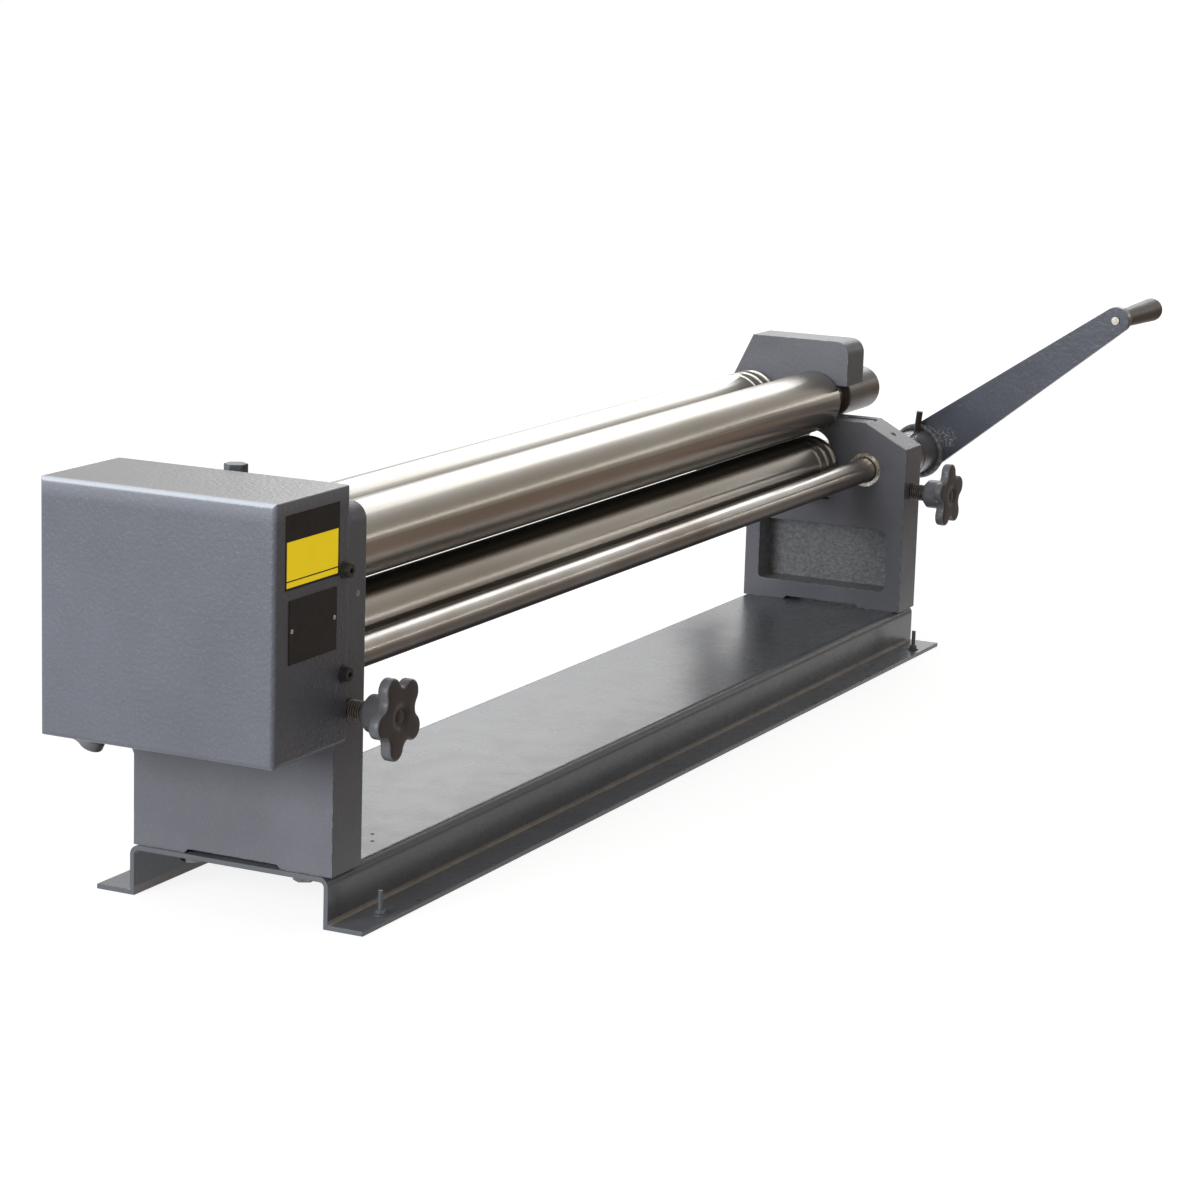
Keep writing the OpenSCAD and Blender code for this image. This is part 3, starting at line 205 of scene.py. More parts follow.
# BASE. A steel plate bent to a hat section and sprayed a satin blue grey; the paint has a faint
# grain, and pale dust with a painted highlight lies along the corner of wall and flange. Small
# studs stand in its corner holes, each with a washer and a nut, painted over with it.
BASE_COLOUR = (0.166, 0.178, 0.203)
BASE_WORN = (0.40, 0.42, 0.45)
BEND_DUST_AND_HIGHLIGHT = (0.56, 0.50, 0.46)
WALL_Y = 0.106
HOLE_AT = (0.667, 0.130)
FLANGE_T = 0.0045
STUD_R = 0.0025
STUD_TOP = 0.028
STUD_PITCH = 0.0009
WASHER_R = 0.0067
WASHER_T = 0.0012
NUT_R = 0.0050
NUT_T = 0.0042
BORE_R = 0.0026
PINHOLES = [(-0.6085, -0.137, 0.0045), (0.551, -0.122, 0.0045), (-0.570, -0.065, 0.048),
            (-0.591, -0.077, 0.048)]
PINHOLE_R = 0.0019


def noise(tree, scale, detail=3.0, stretch=(1, 1, 1)):
    """A noise on Object coordinates, drawn out along the axes by stretch."""
    place = tree.nodes.new("ShaderNodeTexCoord")
    turn = tree.nodes.new("ShaderNodeMapping")
    turn.inputs["Scale"].default_value = stretch
    grain = tree.nodes.new("ShaderNodeTexNoise")
    grain.inputs["Scale"].default_value = scale
    grain.inputs["Detail"].default_value = detail
    tree.links.new(place.outputs["Object"], turn.inputs["Vector"])
    tree.links.new(turn.outputs["Vector"], grain.inputs["Vector"])
    return grain.outputs["Fac"]


def rounded_edges(tree, radius):
    """The normal of the surface with its edges rounded, and how far it leans from the flat one:
    one less the dot product of the two."""
    bevel = tree.nodes.new("ShaderNodeBevel")
    bevel.samples = 6
    bevel.inputs["Radius"].default_value = radius
    flat = tree.nodes.new("ShaderNodeNewGeometry")
    dot = tree.nodes.new("ShaderNodeVectorMath")
    dot.operation = "DOT_PRODUCT"
    tree.links.new(bevel.outputs["Normal"], dot.inputs[0])
    tree.links.new(flat.outputs["Normal"], dot.inputs[1])
    lean = remap(tree, dot.outputs["Value"], 0.98, 0.80, 0.0, 1.0)
    return bevel.outputs["Normal"], lean


def paint(name, colour, worn, roughness, grain_scale, grain_depth, edge, chips=0.55, mottle=0.10,
          specks=0.0, gloss=0.45):
    """Sprayed paint: its colour drifts by the share mottle over a hand's width, a fine noise
    lifts it by grain_depth and leaves pale specks by the share specks, and along edges of the
    radius edge it is chipped to worn."""
    finish, tree, shader = new_finish(name)
    normal, lean = rounded_edges(tree, edge)
    dark = tuple(c * (1 - mottle) for c in colour)
    light = tuple(min(1, c * (1 + mottle)) for c in colour)
    body = blended(tree, remap(tree, noise(tree, 9, 4), 0.35, 0.65, 0, 1), dark, light)
    speck = remap(tree, noise(tree, grain_scale * 1.7, 2), 0.58, 0.72, 0, specks)
    body = blended(tree, speck, body, worn)
    shader.inputs["Specular IOR Level"].default_value = gloss
    rubbed = product(tree, lean, remap(tree, noise(tree, 85, 4), chips, chips + 0.12, 0, 1))
    tree.links.new(blended(tree, rubbed, body, worn), shader.inputs["Base Color"])
    tree.links.new(remap(tree, noise(tree, 28, 3), 0.3, 0.7, roughness - 0.015, roughness + 0.025),
                   shader.inputs["Roughness"])
    bump = tree.nodes.new("ShaderNodeBump")
    bump.inputs["Distance"].default_value = grain_depth
    bump.inputs["Strength"].default_value = 0.6
    tree.links.new(noise(tree, grain_scale, 2), bump.inputs["Height"])
    tree.links.new(normal, bump.inputs["Normal"])
    tree.links.new(bump.outputs["Normal"], shader.inputs["Normal"])
    return finish


def coat(finish, *names):
    """Puts a finish on CAD nodes."""
    for name in names:
        nodes[name].data.materials.clear()
        nodes[name].data.materials.append(finish)


def even_out(*names):
    """Corner normals of CAD nodes weighted by the size of their faces, so flats stay flat right up
    to their bends."""
    for name in names:
        weight = nodes[name].modifiers.new("even_out", "WEIGHTED_NORMAL")
        weight.keep_sharp = True


def settle(name, mesh, body):
    """An object of the mesh, on its body."""
    piece = bpy.data.objects.new(name, mesh)
    bpy.context.scene.collection.objects.link(piece)
    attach(piece, body)
    return piece


def skin(name, rings, finish, body, sharp=30):
    """Rings of points, a row for each, are joined by quads that run once round, and each end is
    closed on the mean of its ring. Edges that turn by more than sharp degrees stay crisp."""
    rows, cols, _ = rings.shape
    points = np.concatenate([rings.reshape(-1, 3), rings[:1].mean(1), rings[-1:].mean(1)])
    here = np.arange(cols)
    after = (here + 1) % cols
    row = np.arange(rows - 1)[:, None] * cols
    quads = np.stack([row + here, row + after, row + cols + after, row + cols + here], -1).reshape(-1, 4)
    top = (rows - 1) * cols
    first = np.full(cols, rows * cols)
    lids = np.concatenate([np.stack([first, after, here], -1),
                           np.stack([first + 1, top + here, top + after], -1)])
    mesh = bpy.data.meshes.new(name)
    mesh.from_pydata(points.tolist(), [], quads.tolist() + lids.tolist())
    mesh.polygons.foreach_set("use_smooth", np.ones(len(mesh.polygons), bool))
    mesh.set_sharp_from_angle(angle=math.radians(sharp))
    mesh.materials.append(finish)
    return settle(name, mesh, body)


def lathe(profile, sides, phase=0.0):
    """Rings of a turned form about its own Z axis: a row of profile is a height and a radius."""
    heights, radii = np.array(profile, float).T
    turn = np.linspace(0, 2 * np.pi, sides, endpoint=False) + phase
    x = radii[:, None] * np.cos(turn)
    y = radii[:, None] * np.sin(turn)
    return np.stack([x, y, np.broadcast_to(heights[:, None], x.shape)], -1)


def threaded(z0, z1, radius, pitch, depth, sides=40, lead=0.0):
    """A turned form whose radius dips by depth once for each pitch, half a turn of the dip's
    cosine further on at the far side; the first and last pitch run out."""
    heights = np.arange(z0, z1, pitch / 7)
    turn = np.linspace(0, 2 * np.pi, sides, endpoint=False)
    wave = 0.5 - 0.5 * np.cos(2 * np.pi * heights[:, None] / pitch - turn)
    fade = np.clip(np.minimum(heights - z0 - lead, z1 - heights) / pitch, 0, 1)[:, None]
    radii = radius - depth * (1 - wave ** 0.6) * fade
    return np.stack([radii * np.cos(turn), radii * np.sin(turn),
                     np.broadcast_to(heights[:, None], radii.shape)], -1)


def stand(rings, at, x_axis=(1, 0, 0), y_axis=(0, 1, 0), z_axis=(0, 0, 1)):
    """Points given along three axes, moved to their place."""
    return rings @ np.array([x_axis, y_axis, z_axis], float) + np.array(at, float)


def metal(name, metallic, bright, stained, patch, drift, grain, rough):
    """Bare metal: its colour goes from bright to stained where a noise of the scale patch passes
    through drift, and its roughness keeps to rough on the noise that grain gives."""
    finish, tree, shader = new_finish(name)
    shader.inputs["Metallic"].default_value = metallic
    tree.links.new(blended(tree, remap(tree, noise(tree, patch, 4), *drift, 0, 1), bright, stained),
                   shader.inputs["Base Color"])
    tree.links.new(remap(tree, noise(tree, *grain), 0.3, 0.7, *rough), shader.inputs["Roughness"])
    return finish


base_paint = paint("base_paint", BASE_COLOUR, BASE_WORN, 0.27, 36, 0.00003, 0.0012, 0.9, 0.08, 0.0, 0.34)
base_tree = base_paint.node_tree
base_at = split(base_tree, "ShaderNodeTexCoord", "Object")
off_middle = reckon(base_tree, "ABSOLUTE", base_at["Y"])
sideways = reckon(base_tree, "ABSOLUTE", split(base_tree, "ShaderNodeNewGeometry", "True Normal")["X"])
# pale dust and a painted highlight: a patchy pale line along the inside corner of wall and flange
in_bend = product(base_tree,
                  remap(base_tree, base_at["Z"], FLANGE_T + 0.0045, FLANGE_T + 0.0025, 0, 1),
                  remap(base_tree, off_middle, WALL_Y + 0.0032, WALL_Y + 0.0018, 0, 1))
uneven = product(base_tree, remap(base_tree, noise(base_tree, 14, 3), 0.3, 0.6, 0.45, 0.9),
                 remap(base_tree, sideways, 0.2, 0.6, 1, 0))
bend_dust_and_highlight = product(base_tree, in_bend, uneven)
base_skin = base_tree.nodes["Principled BSDF"].inputs["Base Color"]
base_tree.links.new(blended(base_tree, bend_dust_and_highlight, base_skin.links[0].from_socket, BEND_DUST_AND_HIGHLIGHT), base_skin)
coat(base_paint, "base_channel")
even_out("base_channel", "gear_cover", "left_frame", "right_frame")

zinc = metal("zinc", 1.0, (0.24, 0.235, 0.23), (0.14, 0.125, 0.11), 160, (0.4, 0.65), (90, 2), (0.28, 0.5))
coat(zinc, "frame_bolts")

stud_profile = threaded(0, STUD_TOP, STUD_R, STUD_PITCH, 0.0003, 20)
washer_profile = lathe([(0, BORE_R), (0, WASHER_R - 0.0002), (0.0002, WASHER_R),
                        (WASHER_T - 0.0003, WASHER_R), (WASHER_T, WASHER_R - 0.0003), (WASHER_T, BORE_R)], 40)
nut_round = lathe([(0, NUT_R * 0.80), (0, NUT_R * 0.86), (0.0005, NUT_R), (NUT_T - 0.0005, NUT_R),
                   (NUT_T, NUT_R * 0.86), (NUT_T, NUT_R * 0.6)], 6, 0.3)
for x_side in (-1, 1):
    for y_side in (-1, 1):
        at = np.array([x_side * HOLE_AT[0], y_side * HOLE_AT[1], 0])
        tag = ("left" if x_side < 0 else "right") + ("_front" if y_side < 0 else "_back")
        skin("foot_stud_" + tag, stand(stud_profile, at), base_paint, "root", 60)
        skin("foot_washer_" + tag, stand(washer_profile, at + (0, 0, FLANGE_T)), base_paint, "root")
        skin("foot_nut_" + tag, stand(nut_round, at + (0, 0, FLANGE_T + WASHER_T)), base_paint, "root")

# painted shade: thin near black discs, drifting to dark brown, stand in for the pinholes
shade, shade_tree, shade_shader = new_finish("drilled_hole")
shade_tree.links.new(blended(shade_tree, noise(shade_tree, 700, 2), (0.02, 0.012, 0.01), (0.07, 0.035, 0.03)),
                     shade_shader.inputs["Base Color"])
shade_shader.inputs["Roughness"].default_value = 0.8
for i, (x, y, z) in enumerate(PINHOLES):
    dimple = lathe([(-0.0002, PINHOLE_R), (0.00012, PINHOLE_R), (0.00002, PINHOLE_R * 0.6)], 16)
    skin("pinhole_%d" % i, stand(dimple, (x, y, z)), shade, "root")


# FRAMES. Two iron castings, filled and sprayed; the faces show a sandy grain, the pocket floor
# is left rough, and the corners are chipped. Their blocks are machined, their bushes dull bronze.
CAST_COLOUR = (0.197, 0.204, 0.236)
CAST_WORN = (0.56, 0.57, 0.58)
POCKET_DUST = (0.36, 0.37, 0.37)
POCKET_FROM = 0.670
POCKET_TO = 0.712
POCKET_TOP = 0.152
POCKET_FRONT = -0.094
cast_paint = paint("cast_paint", CAST_COLOUR, CAST_WORN, 0.36, 260, 0.0011, 0.0018, 0.48, 0.10, 0.10, 0.3)
cast_tree = cast_paint.node_tree
cast_at = split(cast_tree, "ShaderNodeTexCoord", "Object")
from_middle = reckon(cast_tree, "ABSOLUTE", cast_at["X"])
between = product(cast_tree, remap(cast_tree, from_middle, POCKET_FROM - 0.002, POCKET_FROM, 0, 1),
                  remap(cast_tree, from_middle, POCKET_TO, POCKET_TO + 0.002, 1, 0))
inside = product(cast_tree, remap(cast_tree, cast_at["Y"], POCKET_FRONT - 0.002, POCKET_FRONT, 0, 1),
                 remap(cast_tree, cast_at["Z"], POCKET_TOP, POCKET_TOP + 0.002, 1, 0))
in_pocket = product(cast_tree, between, inside)
for bump in [each for each in cast_tree.nodes if each.type == "BUMP"]:
    cast_tree.links.new(remap(cast_tree, in_pocket, 0, 1, 0.35, 1.0), bump.inputs["Strength"])
cast_skin = cast_tree.nodes["Principled BSDF"].inputs["Base Color"]
sandy = product(cast_tree, in_pocket, remap(cast_tree, noise(cast_tree, 210, 4), 0.35, 0.70, 0.1, 0.9))
cast_tree.links.new(blended(cast_tree, sandy, cast_skin.links[0].from_socket, POCKET_DUST), cast_skin)
coat(cast_paint, "left_frame", "right_frame")

machined = metal("machined", 1.0, (0.33, 0.32, 0.30), (0.20, 0.18, 0.16), 60, (0.35, 0.65),
                 (500, 2, (1, 1, 0.05)), (0.3, 0.5))
coat(machined, "swivel_block", "bottom_block_left", "bottom_block_right", "rear_block_left", "rear_block_right",
     "lift_wedge_left", "lift_wedge_right")

bronze = metal("dull_bronze", 1.0, (0.66, 0.65, 0.60), (0.42, 0.37, 0.30), 120, (0.4, 0.6), (300, 2),
               (0.25, 0.42))
coat(bronze, "swivel_bush", "shaft_bushes_left", "shaft_bushes_right", "bottom_bush_left", "bottom_bush_right",
     "rear_bush_left", "rear_bush_right")
oiler_steel, oiler_tree, oiler_shader = new_finish("oiler_steel")
oiler_shader.inputs["Metallic"].default_value = 0.8
oiler_shader.inputs["Roughness"].default_value = 0.3
oiler_at = split(oiler_tree, "ShaderNodeTexCoord", "Object")
oiler_tree.links.new(blended(oiler_tree, remap(oiler_tree, oiler_at["X"], -0.1, 0.1, 0, 1),
                             (0.78, 0.78, 0.76), (0.05, 0.045, 0.04)), oiler_shader.inputs["Base Color"])
coat(oiler_steel, "oilers")
blued = paint("blued_steel", (0.090, 0.105, 0.130), (0.42, 0.44, 0.46), 0.30, 400, 0.0002, 0.0009, 0.44,
              0.3, 0.1, 0.6)
coat(blued, "pivot_bolt", "pivot_locknut")


# ROLLS. Solid steel, ground bright round and round, then oiled: the brushed surface smears what it
# mirrors along X, and the oil film dries to darker patches. Painted shade darkens them near black
# where they meet other steel and on their lower sides. The shaft under them is turned and stained,
# and painted shade darkens its lower half.
GROUND_STEEL = (0.46, 0.440, 0.406)
OILED_STEEL = (0.37, 0.340, 0.297)
SHADE_BLACK = (0.02, 0.018, 0.016)


def ground(name, bright, stained, low, high, streaks, patch, brushed=0.0, under=(-0.72, -0.90, 0.9),
           reach=0.035):
    """Bare steel whose colour drifts from bright to stained over patches. Painted shade dulls it to near
    black where other steel stands within reach, and on its lower side: under is the normal's
    height where that begins, where it ends and its share. The roughness drifts in streaks along
    X, and brushed marks round X smear what it mirrors along X."""
    finish, tree, shader = new_finish(name)
    film = remap(tree, noise(tree, patch, 5, (0.35, 1, 1)), 0.36, 0.68, 0, 1)
    nip = tree.nodes.new("ShaderNodeAmbientOcclusion")
    nip.samples = 8
    nip.inputs["Distance"].default_value = reach
    facing = split(tree, "ShaderNodeNewGeometry", "Normal")
    # painted shade: near black and less metallic where other steel is within reach and on the lower side
    painted_shade = reckon(tree, "MAXIMUM", remap(tree, nip.outputs["AO"], 0.62, 0.22, 0, 0.86),
                   remap(tree, facing["Z"], under[0], under[1], 0, under[2]))
    tree.links.new(blended(tree, painted_shade, blended(tree, film, bright, stained), SHADE_BLACK),
                   shader.inputs["Base Color"])
    tree.links.new(remap(tree, painted_shade, 0, 1, 1, 0), shader.inputs["Metallic"])
    shader.inputs["Specular IOR Level"].default_value = 0.0
    round_x = tree.nodes.new("ShaderNodeTangent")
    round_x.direction_type = "RADIAL"
    round_x.axis = "X"
    tree.links.new(round_x.outputs["Tangent"], shader.inputs["Tangent"])
    shader.inputs["Anisotropic"].default_value = brushed
    shader.inputs["Anisotropic Rotation"].default_value = 0.25
    tree.links.new(remap(tree, noise(tree, streaks, 3, (0.04, 1, 1)), 0.25, 0.75, low, high),
                   shader.inputs["Roughness"])
    return finish


ground_steel = ground("ground_steel", GROUND_STEEL, OILED_STEEL, 0.20, 0.235, 30, 7, 0.86)
coat(ground_steel, "top_roll", "bottom_roll", "rear_roll")
# the shaft's lower half is darkened by painted shade
shaft_steel = ground("shaft_steel", (0.68, 0.67, 0.65), (0.36, 0.32, 0.285), 0.24, 0.27, 30, 14, 0.7,
                     (0.50, -0.50, 0.80), 0.010)
coat(shaft_steel, "drive_shaft")


# GEARS. Cut steel under the cover, dark with grease, on keys and nuts of bright steel.
greased = metal("greased_steel", 0.9, (0.13, 0.13, 0.13), (0.05, 0.042, 0.035), 45, (0.35, 0.65), (70, 3),
                (0.25, 0.5))
coat(greased, "top_pinch_gear", "top_drive_gear", "bottom_pinch_gear", "drive_pinion")
coat(zinc, "top_gear_key", "top_gear_nut", "bottom_gear_key", "bottom_gear_nut", "pinion_key", "pinion_nut",
     "top_gear_spacer", "shaft_collar")


# ADJUSTERS. Four five lobed knobs, cast and painted, their faces rubbed dark by hands, on
# threaded screws that have gone brown, with painted shade near black in their thread grooves.
# The front ones push wedges, the rear ones the rear roll.
KNOB_R = 0.040
LOBE_SHARE = 0.3
VALLEY_SHARE = 0.675
LOBES = 5
HUB_LEN = 0.024
HUB_R = 0.0175
NECK_R = 0.0125
KNOB_T = 0.0115
EDGE_R = 0.0026
SCREW_R = 0.010
SCREW_PITCH = 0.0025
SCREW_DEPTH = 0.0011
SPIGOT_R = 0.005
SPIGOT_LEN = 0.012
FRONT_NECK_R = 0.007
FRONT_THREAD = 0.0565
TILT = math.radians(64.4)
KNOB_SOCKET = 0.019
FACE_ROWS = 10


def star(inset):
    """The outline of five round lobes joined by arcs tangent to both, drawn in by inset. An arc
    touches two lobes, so its centre is its radius plus theirs away from each."""
    lobe = KNOB_R * LOBE_SHARE - inset
    ring = KNOB_R * (1 - LOBE_SHARE)
    valley = KNOB_R * VALLEY_SHARE - inset
    half = math.pi / LOBES
    arc = (ring ** 2 + valley ** 2 - 2 * ring * valley * math.cos(half) - lobe ** 2) / (
        2 * (lobe + ring * math.cos(half) - valley))
    centre = np.array([math.cos(half), math.sin(half)]) * (valley + arc)
    lean = math.atan2(centre[1], centre[0] - ring)
    out = np.linspace(-lean, lean, 19)[:-1]
    back = np.linspace(math.pi + lean, math.pi + 2 * half - lean, 9)[:-1]
    lobe_line = np.stack([ring + lobe * np.cos(out), lobe * np.sin(out)], -1)
    valley_line = centre + arc * np.stack([np.cos(back), np.sin(back)], -1)
    one = np.concatenate([lobe_line, valley_line])
    angles = np.arange(LOBES) * 2 * half
    turn = np.stack([np.stack([np.cos(angles), np.sin(angles)], -1),
                     np.stack([-np.sin(angles), np.cos(angles)], -1)], 1)
    return np.einsum("pk,nkj->npj", one, turn).reshape(-1, 2)


def knob_rings(twist):
    """Rings from the foot of the hub up to the face: circles for the hub, which part by part
    become the star, then the star drawn in over its rounded rims, and circles for the dish."""
    heading = np.arctan2(star(0)[:, 1], star(0)[:, 0])
    circle = np.stack([np.cos(heading), np.sin(heading)], -1)
    rows = [(circle * r, z) for r, z in (
        (NECK_R - 0.001, 0), (NECK_R, 0.0007), (HUB_R - 0.0004, 0.0048), (HUB_R, 0.006),
        (HUB_R, HUB_LEN - 0.003), (HUB_R + 0.0006, HUB_LEN - 0.0012))]
    rows.append((circle * (HUB_R + 0.0025), HUB_LEN + 0.0003))
    for angle in np.radians((-90, -60, -30, 0)):
        rows.append((star(EDGE_R * (1 - math.cos(angle))), HUB_LEN + EDGE_R * (1 + math.sin(angle))))
    top = HUB_LEN + KNOB_T
    for angle in np.radians((0, 22, 45, 68, 90)):
        rows.append((star(EDGE_R * (1 - math.cos(angle))), top - EDGE_R * (1 - math.sin(angle))))
    rows.append((star(EDGE_R + 0.002), top + 0.0001))
    rows += [(circle * r, z) for r, z in (
        (0.0165, top + 0.0004), (0.0108, top), (0.0098, top - 0.0008), (0.0090, top - 0.0014),
        (0.0062, top - 0.0014), (0.0056, top - 0.0006), (0.0050, top - 0.0004))]
    turn = np.array([[math.cos(twist), math.sin(twist)], [-math.sin(twist), math.cos(twist)]])
    return np.stack([np.concatenate([flat @ turn, np.full((len(flat), 1), z)], -1) for flat, z in rows])


def rub(piece, finish, cols):
    """The last rows of a knob, from the rounded rim of its face on, take the finish, and so does
    its outer lid; cols is how many quads each row has."""
    piece.data.materials.append(finish)
    total = len(piece.data.polygons)
    index = np.arange(total)
    lids = total - 2 * cols
    worn = ((index >= lids - FACE_ROWS * cols) & (index < lids)) | (index >= lids + cols)
    piece.data.polygons.foreach_set("material_index", worn.astype(np.int32))


def screw_rings(neck_len, neck_r, thread_len):
    """A spigot below zero, a neck up to neck_len and a thread beyond it, as one row of rings."""
    plain = lathe([(-SPIGOT_LEN, SPIGOT_R - 0.001), (0.001 - SPIGOT_LEN, SPIGOT_R), (0, SPIGOT_R),
                   (0.0001, neck_r), (max(neck_len, 0.0002), neck_r)], 40)
    thread = threaded(neck_len + 0.0003, neck_len + thread_len, SCREW_R, SCREW_PITCH, SCREW_DEPTH)
    return np.concatenate([plain, thread])


knob_side = paint("knob_paint", (0.190, 0.196, 0.216), (0.30, 0.30, 0.31), 0.34, 600, 0.0003, 0.0009,
                  0.50, 0.15)
knob_face = paint("knob_face", (0.074, 0.068, 0.066), (0.17, 0.155, 0.15), 0.42, 600, 0.0003, 0.0009,
                  0.50, 0.25)
rust, rust_tree, rust_shader = new_finish("browned_screw")
rust_shader.inputs["Metallic"].default_value = 0.75
# painted shade: the thread grooves go near black where the surface is hemmed in
groove_shade = rust_tree.nodes.new("ShaderNodeAmbientOcclusion")
groove_shade.samples = 8
groove_shade.inputs["Distance"].default_value = 0.0016
crest = blended(rust_tree, remap(rust_tree, noise(rust_tree, 240, 4), 0.35, 0.62, 0, 1),
                (0.095, 0.080, 0.070), (0.160, 0.142, 0.128))
rust_tree.links.new(blended(rust_tree, remap(rust_tree, groove_shade.outputs["AO"], 0.45, 0.85, 0, 1),
                            (0.012, 0.010, 0.009), crest), rust_shader.inputs["Base Color"])
rust_tree.links.new(remap(rust_tree, noise(rust_tree, 180, 3), 0.3, 0.7, 0.35, 0.65),
                    rust_shader.inputs["Roughness"])

for side, twist in (("left", 42.6), ("right", 20.0)):
    knob_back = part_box("front_knob_" + side)[1].y
    screw_low, screw_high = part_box("lift_screw_" + side)
    mid_x = (screw_low.x + screw_high.x) / 2
    screw_z = (screw_low.z + screw_high.z) / 2
    knob = skin("front_knob_cast_" + side,
                stand(knob_rings(math.radians(twist)), (mid_x, knob_back, screw_z),
                      (1, 0, 0), (0, 0, 1), (0, -1, 0)),
                knob_side, "%s_front_knob_set" % side, 50)
    rub(knob, knob_face, len(star(0)))
    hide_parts("front_knob_" + side)
    seat_y = screw_high.y - SPIGOT_LEN
    screw = skin("front_screw_" + side,
                 stand(screw_rings(seat_y - screw_low.y - FRONT_THREAD, FRONT_NECK_R, FRONT_THREAD),
                       (mid_x, seat_y, screw_z), (1, 0, 0), (0, 0, 1), (0, -1, 0)),
                 rust, "%s_front_knob_set" % side, 50)
    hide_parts("lift_screw_" + side)

REAR_AXIS = np.array([0, math.cos(TILT), -math.sin(TILT)])
REAR_SIDE = np.array([0, -math.sin(TILT), -math.cos(TILT)])
REAR_KNOB = np.array([0.104, 0.2985])
REAR_ARM_LEN = 0.120
REAR_KNOB_GAP = 0.019
REAR_KNOB_FROM_ROLL = REAR_ARM_LEN + REAR_KNOB_GAP
REAR_BLOCK_LEN = 0.028
REAR_TWIST = math.radians(54)
for side in ("left", "right"):
    screw_low, screw_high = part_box("rear_screw_" + side)
    roll_axis = np.array([(screw_low.x + screw_high.x) / 2, REAR_KNOB[0], REAR_KNOB[1]])
    knob = skin("rear_knob_cast_" + side,
                stand(knob_rings(REAR_TWIST), roll_axis + REAR_AXIS * REAR_KNOB_FROM_ROLL,
                      (1, 0, 0), REAR_SIDE, REAR_AXIS),
                knob_side, "%s_rear_knob_set" % side, 50)
    rub(knob, knob_face, len(star(0)))
    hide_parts("rear_knob_" + side)
    thread_len = REAR_KNOB_FROM_ROLL + KNOB_SOCKET - REAR_BLOCK_LEN - 0.0004
    screw = skin("rear_screw_thread_" + side,
                 stand(screw_rings(0.0002, SPIGOT_R, thread_len),
                       roll_axis + REAR_AXIS * (REAR_BLOCK_LEN + 0.0001),
                       (1, 0, 0), REAR_SIDE, REAR_AXIS), rust, "%s_rear_knob_set" % side, 50)
    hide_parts("rear_screw_" + side)


# CRANK. A collar pinned to the shaft, a hub welded to a flat tapered arm and brushed in gloss
# navy grey, and a brown moulded grip, rubbed pale, that turns on a riveted spindle.
SHAFT_Y = -0.0534
SHAFT_Z = 0.224
ARM_X = 0.8525
BEAD_R = 0.0312
BEAD_HALF = 0.0040
WELD_AT = (0.8525, -0.0905, 0.2440)
WELD_REACH = 0.017
HUB_GREY = (0.205, 0.212, 0.230)
SPATTER_GLINT = (0.72, 0.72, 0.73)
crank_paint = paint("crank_paint", (0.134, 0.147, 0.188), (0.40, 0.42, 0.46), 0.24, 180, 0.0005, 0.0014,
                    0.50, 0.10, 0.08, 0.6)
crank_tree = crank_paint.node_tree
crank_at = crank_tree.nodes.new("ShaderNodeTexCoord").outputs["Object"]
from_weld = crank_tree.nodes.new("ShaderNodeVectorMath")
from_weld.operation = "DISTANCE"
from_weld.inputs[1].default_value = WELD_AT
crank_tree.links.new(crank_at, from_weld.inputs[0])
# weld spatter with painted glints: pale specks round the weld
near_weld = remap(crank_tree, from_weld.outputs["Value"], WELD_REACH * 0.5, WELD_REACH, 1, 0)
spatter_glint = product(crank_tree, near_weld, remap(crank_tree, noise(crank_tree, 560, 2), 0.53, 0.60, 0, 0.6))
crank_along = split(crank_tree, "ShaderNodeTexCoord", "Object")
crank_skin = crank_tree.nodes["Principled BSDF"].inputs["Base Color"]
hub_tone = blended(crank_tree, remap(crank_tree, crank_along["X"], ARM_X - 0.006, ARM_X - 0.002, 0, 1),
                   HUB_GREY, crank_skin.links[0].from_socket)
crank_tree.links.new(blended(crank_tree, spatter_glint, hub_tone, SPATTER_GLINT), crank_skin)
coat(crank_paint, "crank_collar", "crank")

pin_steel = paint("pin_steel", (0.045, 0.036, 0.036), (0.62, 0.62, 0.62), 0.34, 500, 0.0002, 0.0010,
                  0.40, 0.2)
coat(pin_steel, "crank_pin")

grip_brown = paint("grip_moulding", (0.052, 0.038, 0.030), (0.15, 0.12, 0.09), 0.40, 330, 0.0005, 0.0012,
                   0.45, 0.35)
coat(grip_brown, "grip")
# painted shade darkens the spindle's lower side
rivet_steel = ground("rivet_steel", (0.62, 0.61, 0.58), (0.40, 0.36, 0.31), 0.2, 0.35, 300, 60, reach=0.001)
coat(rivet_steel, "grip_spindle")
tan_washer = paint("tan_washer", (0.30, 0.20, 0.12), (0.45, 0.36, 0.26), 0.6, 300, 0.0004, 0.0006, 0.5, 0.2)
coat(tan_washer, "grip_washer")


def bead_rings():
    """The weld: a ring round the hub whose own section swells and sinks with each drop, the
    drops spaced evenly and leaning on each other."""
    around = np.linspace(0, 2 * np.pi, 240, endpoint=False)
    section = np.linspace(0, 2 * np.pi, 14, endpoint=False)
    drop = np.abs(np.sin(11 * around + 0.8 * np.sin(3 * around))) ** 0.7
    swell = BEAD_HALF * (0.80 + 0.28 * drop + 0.06 * np.sin(5 * around))
    reach = BEAD_R + 0.0006 * np.sin(4 * around + 1)
    r = reach[:, None] + swell[:, None] * np.cos(section)
    x = ARM_X - 0.0018 + swell[:, None] * np.sin(section) * 1.15
    return np.stack([x, SHAFT_Y + r * np.cos(around)[:, None], SHAFT_Z + r * np.sin(around)[:, None]], -1)


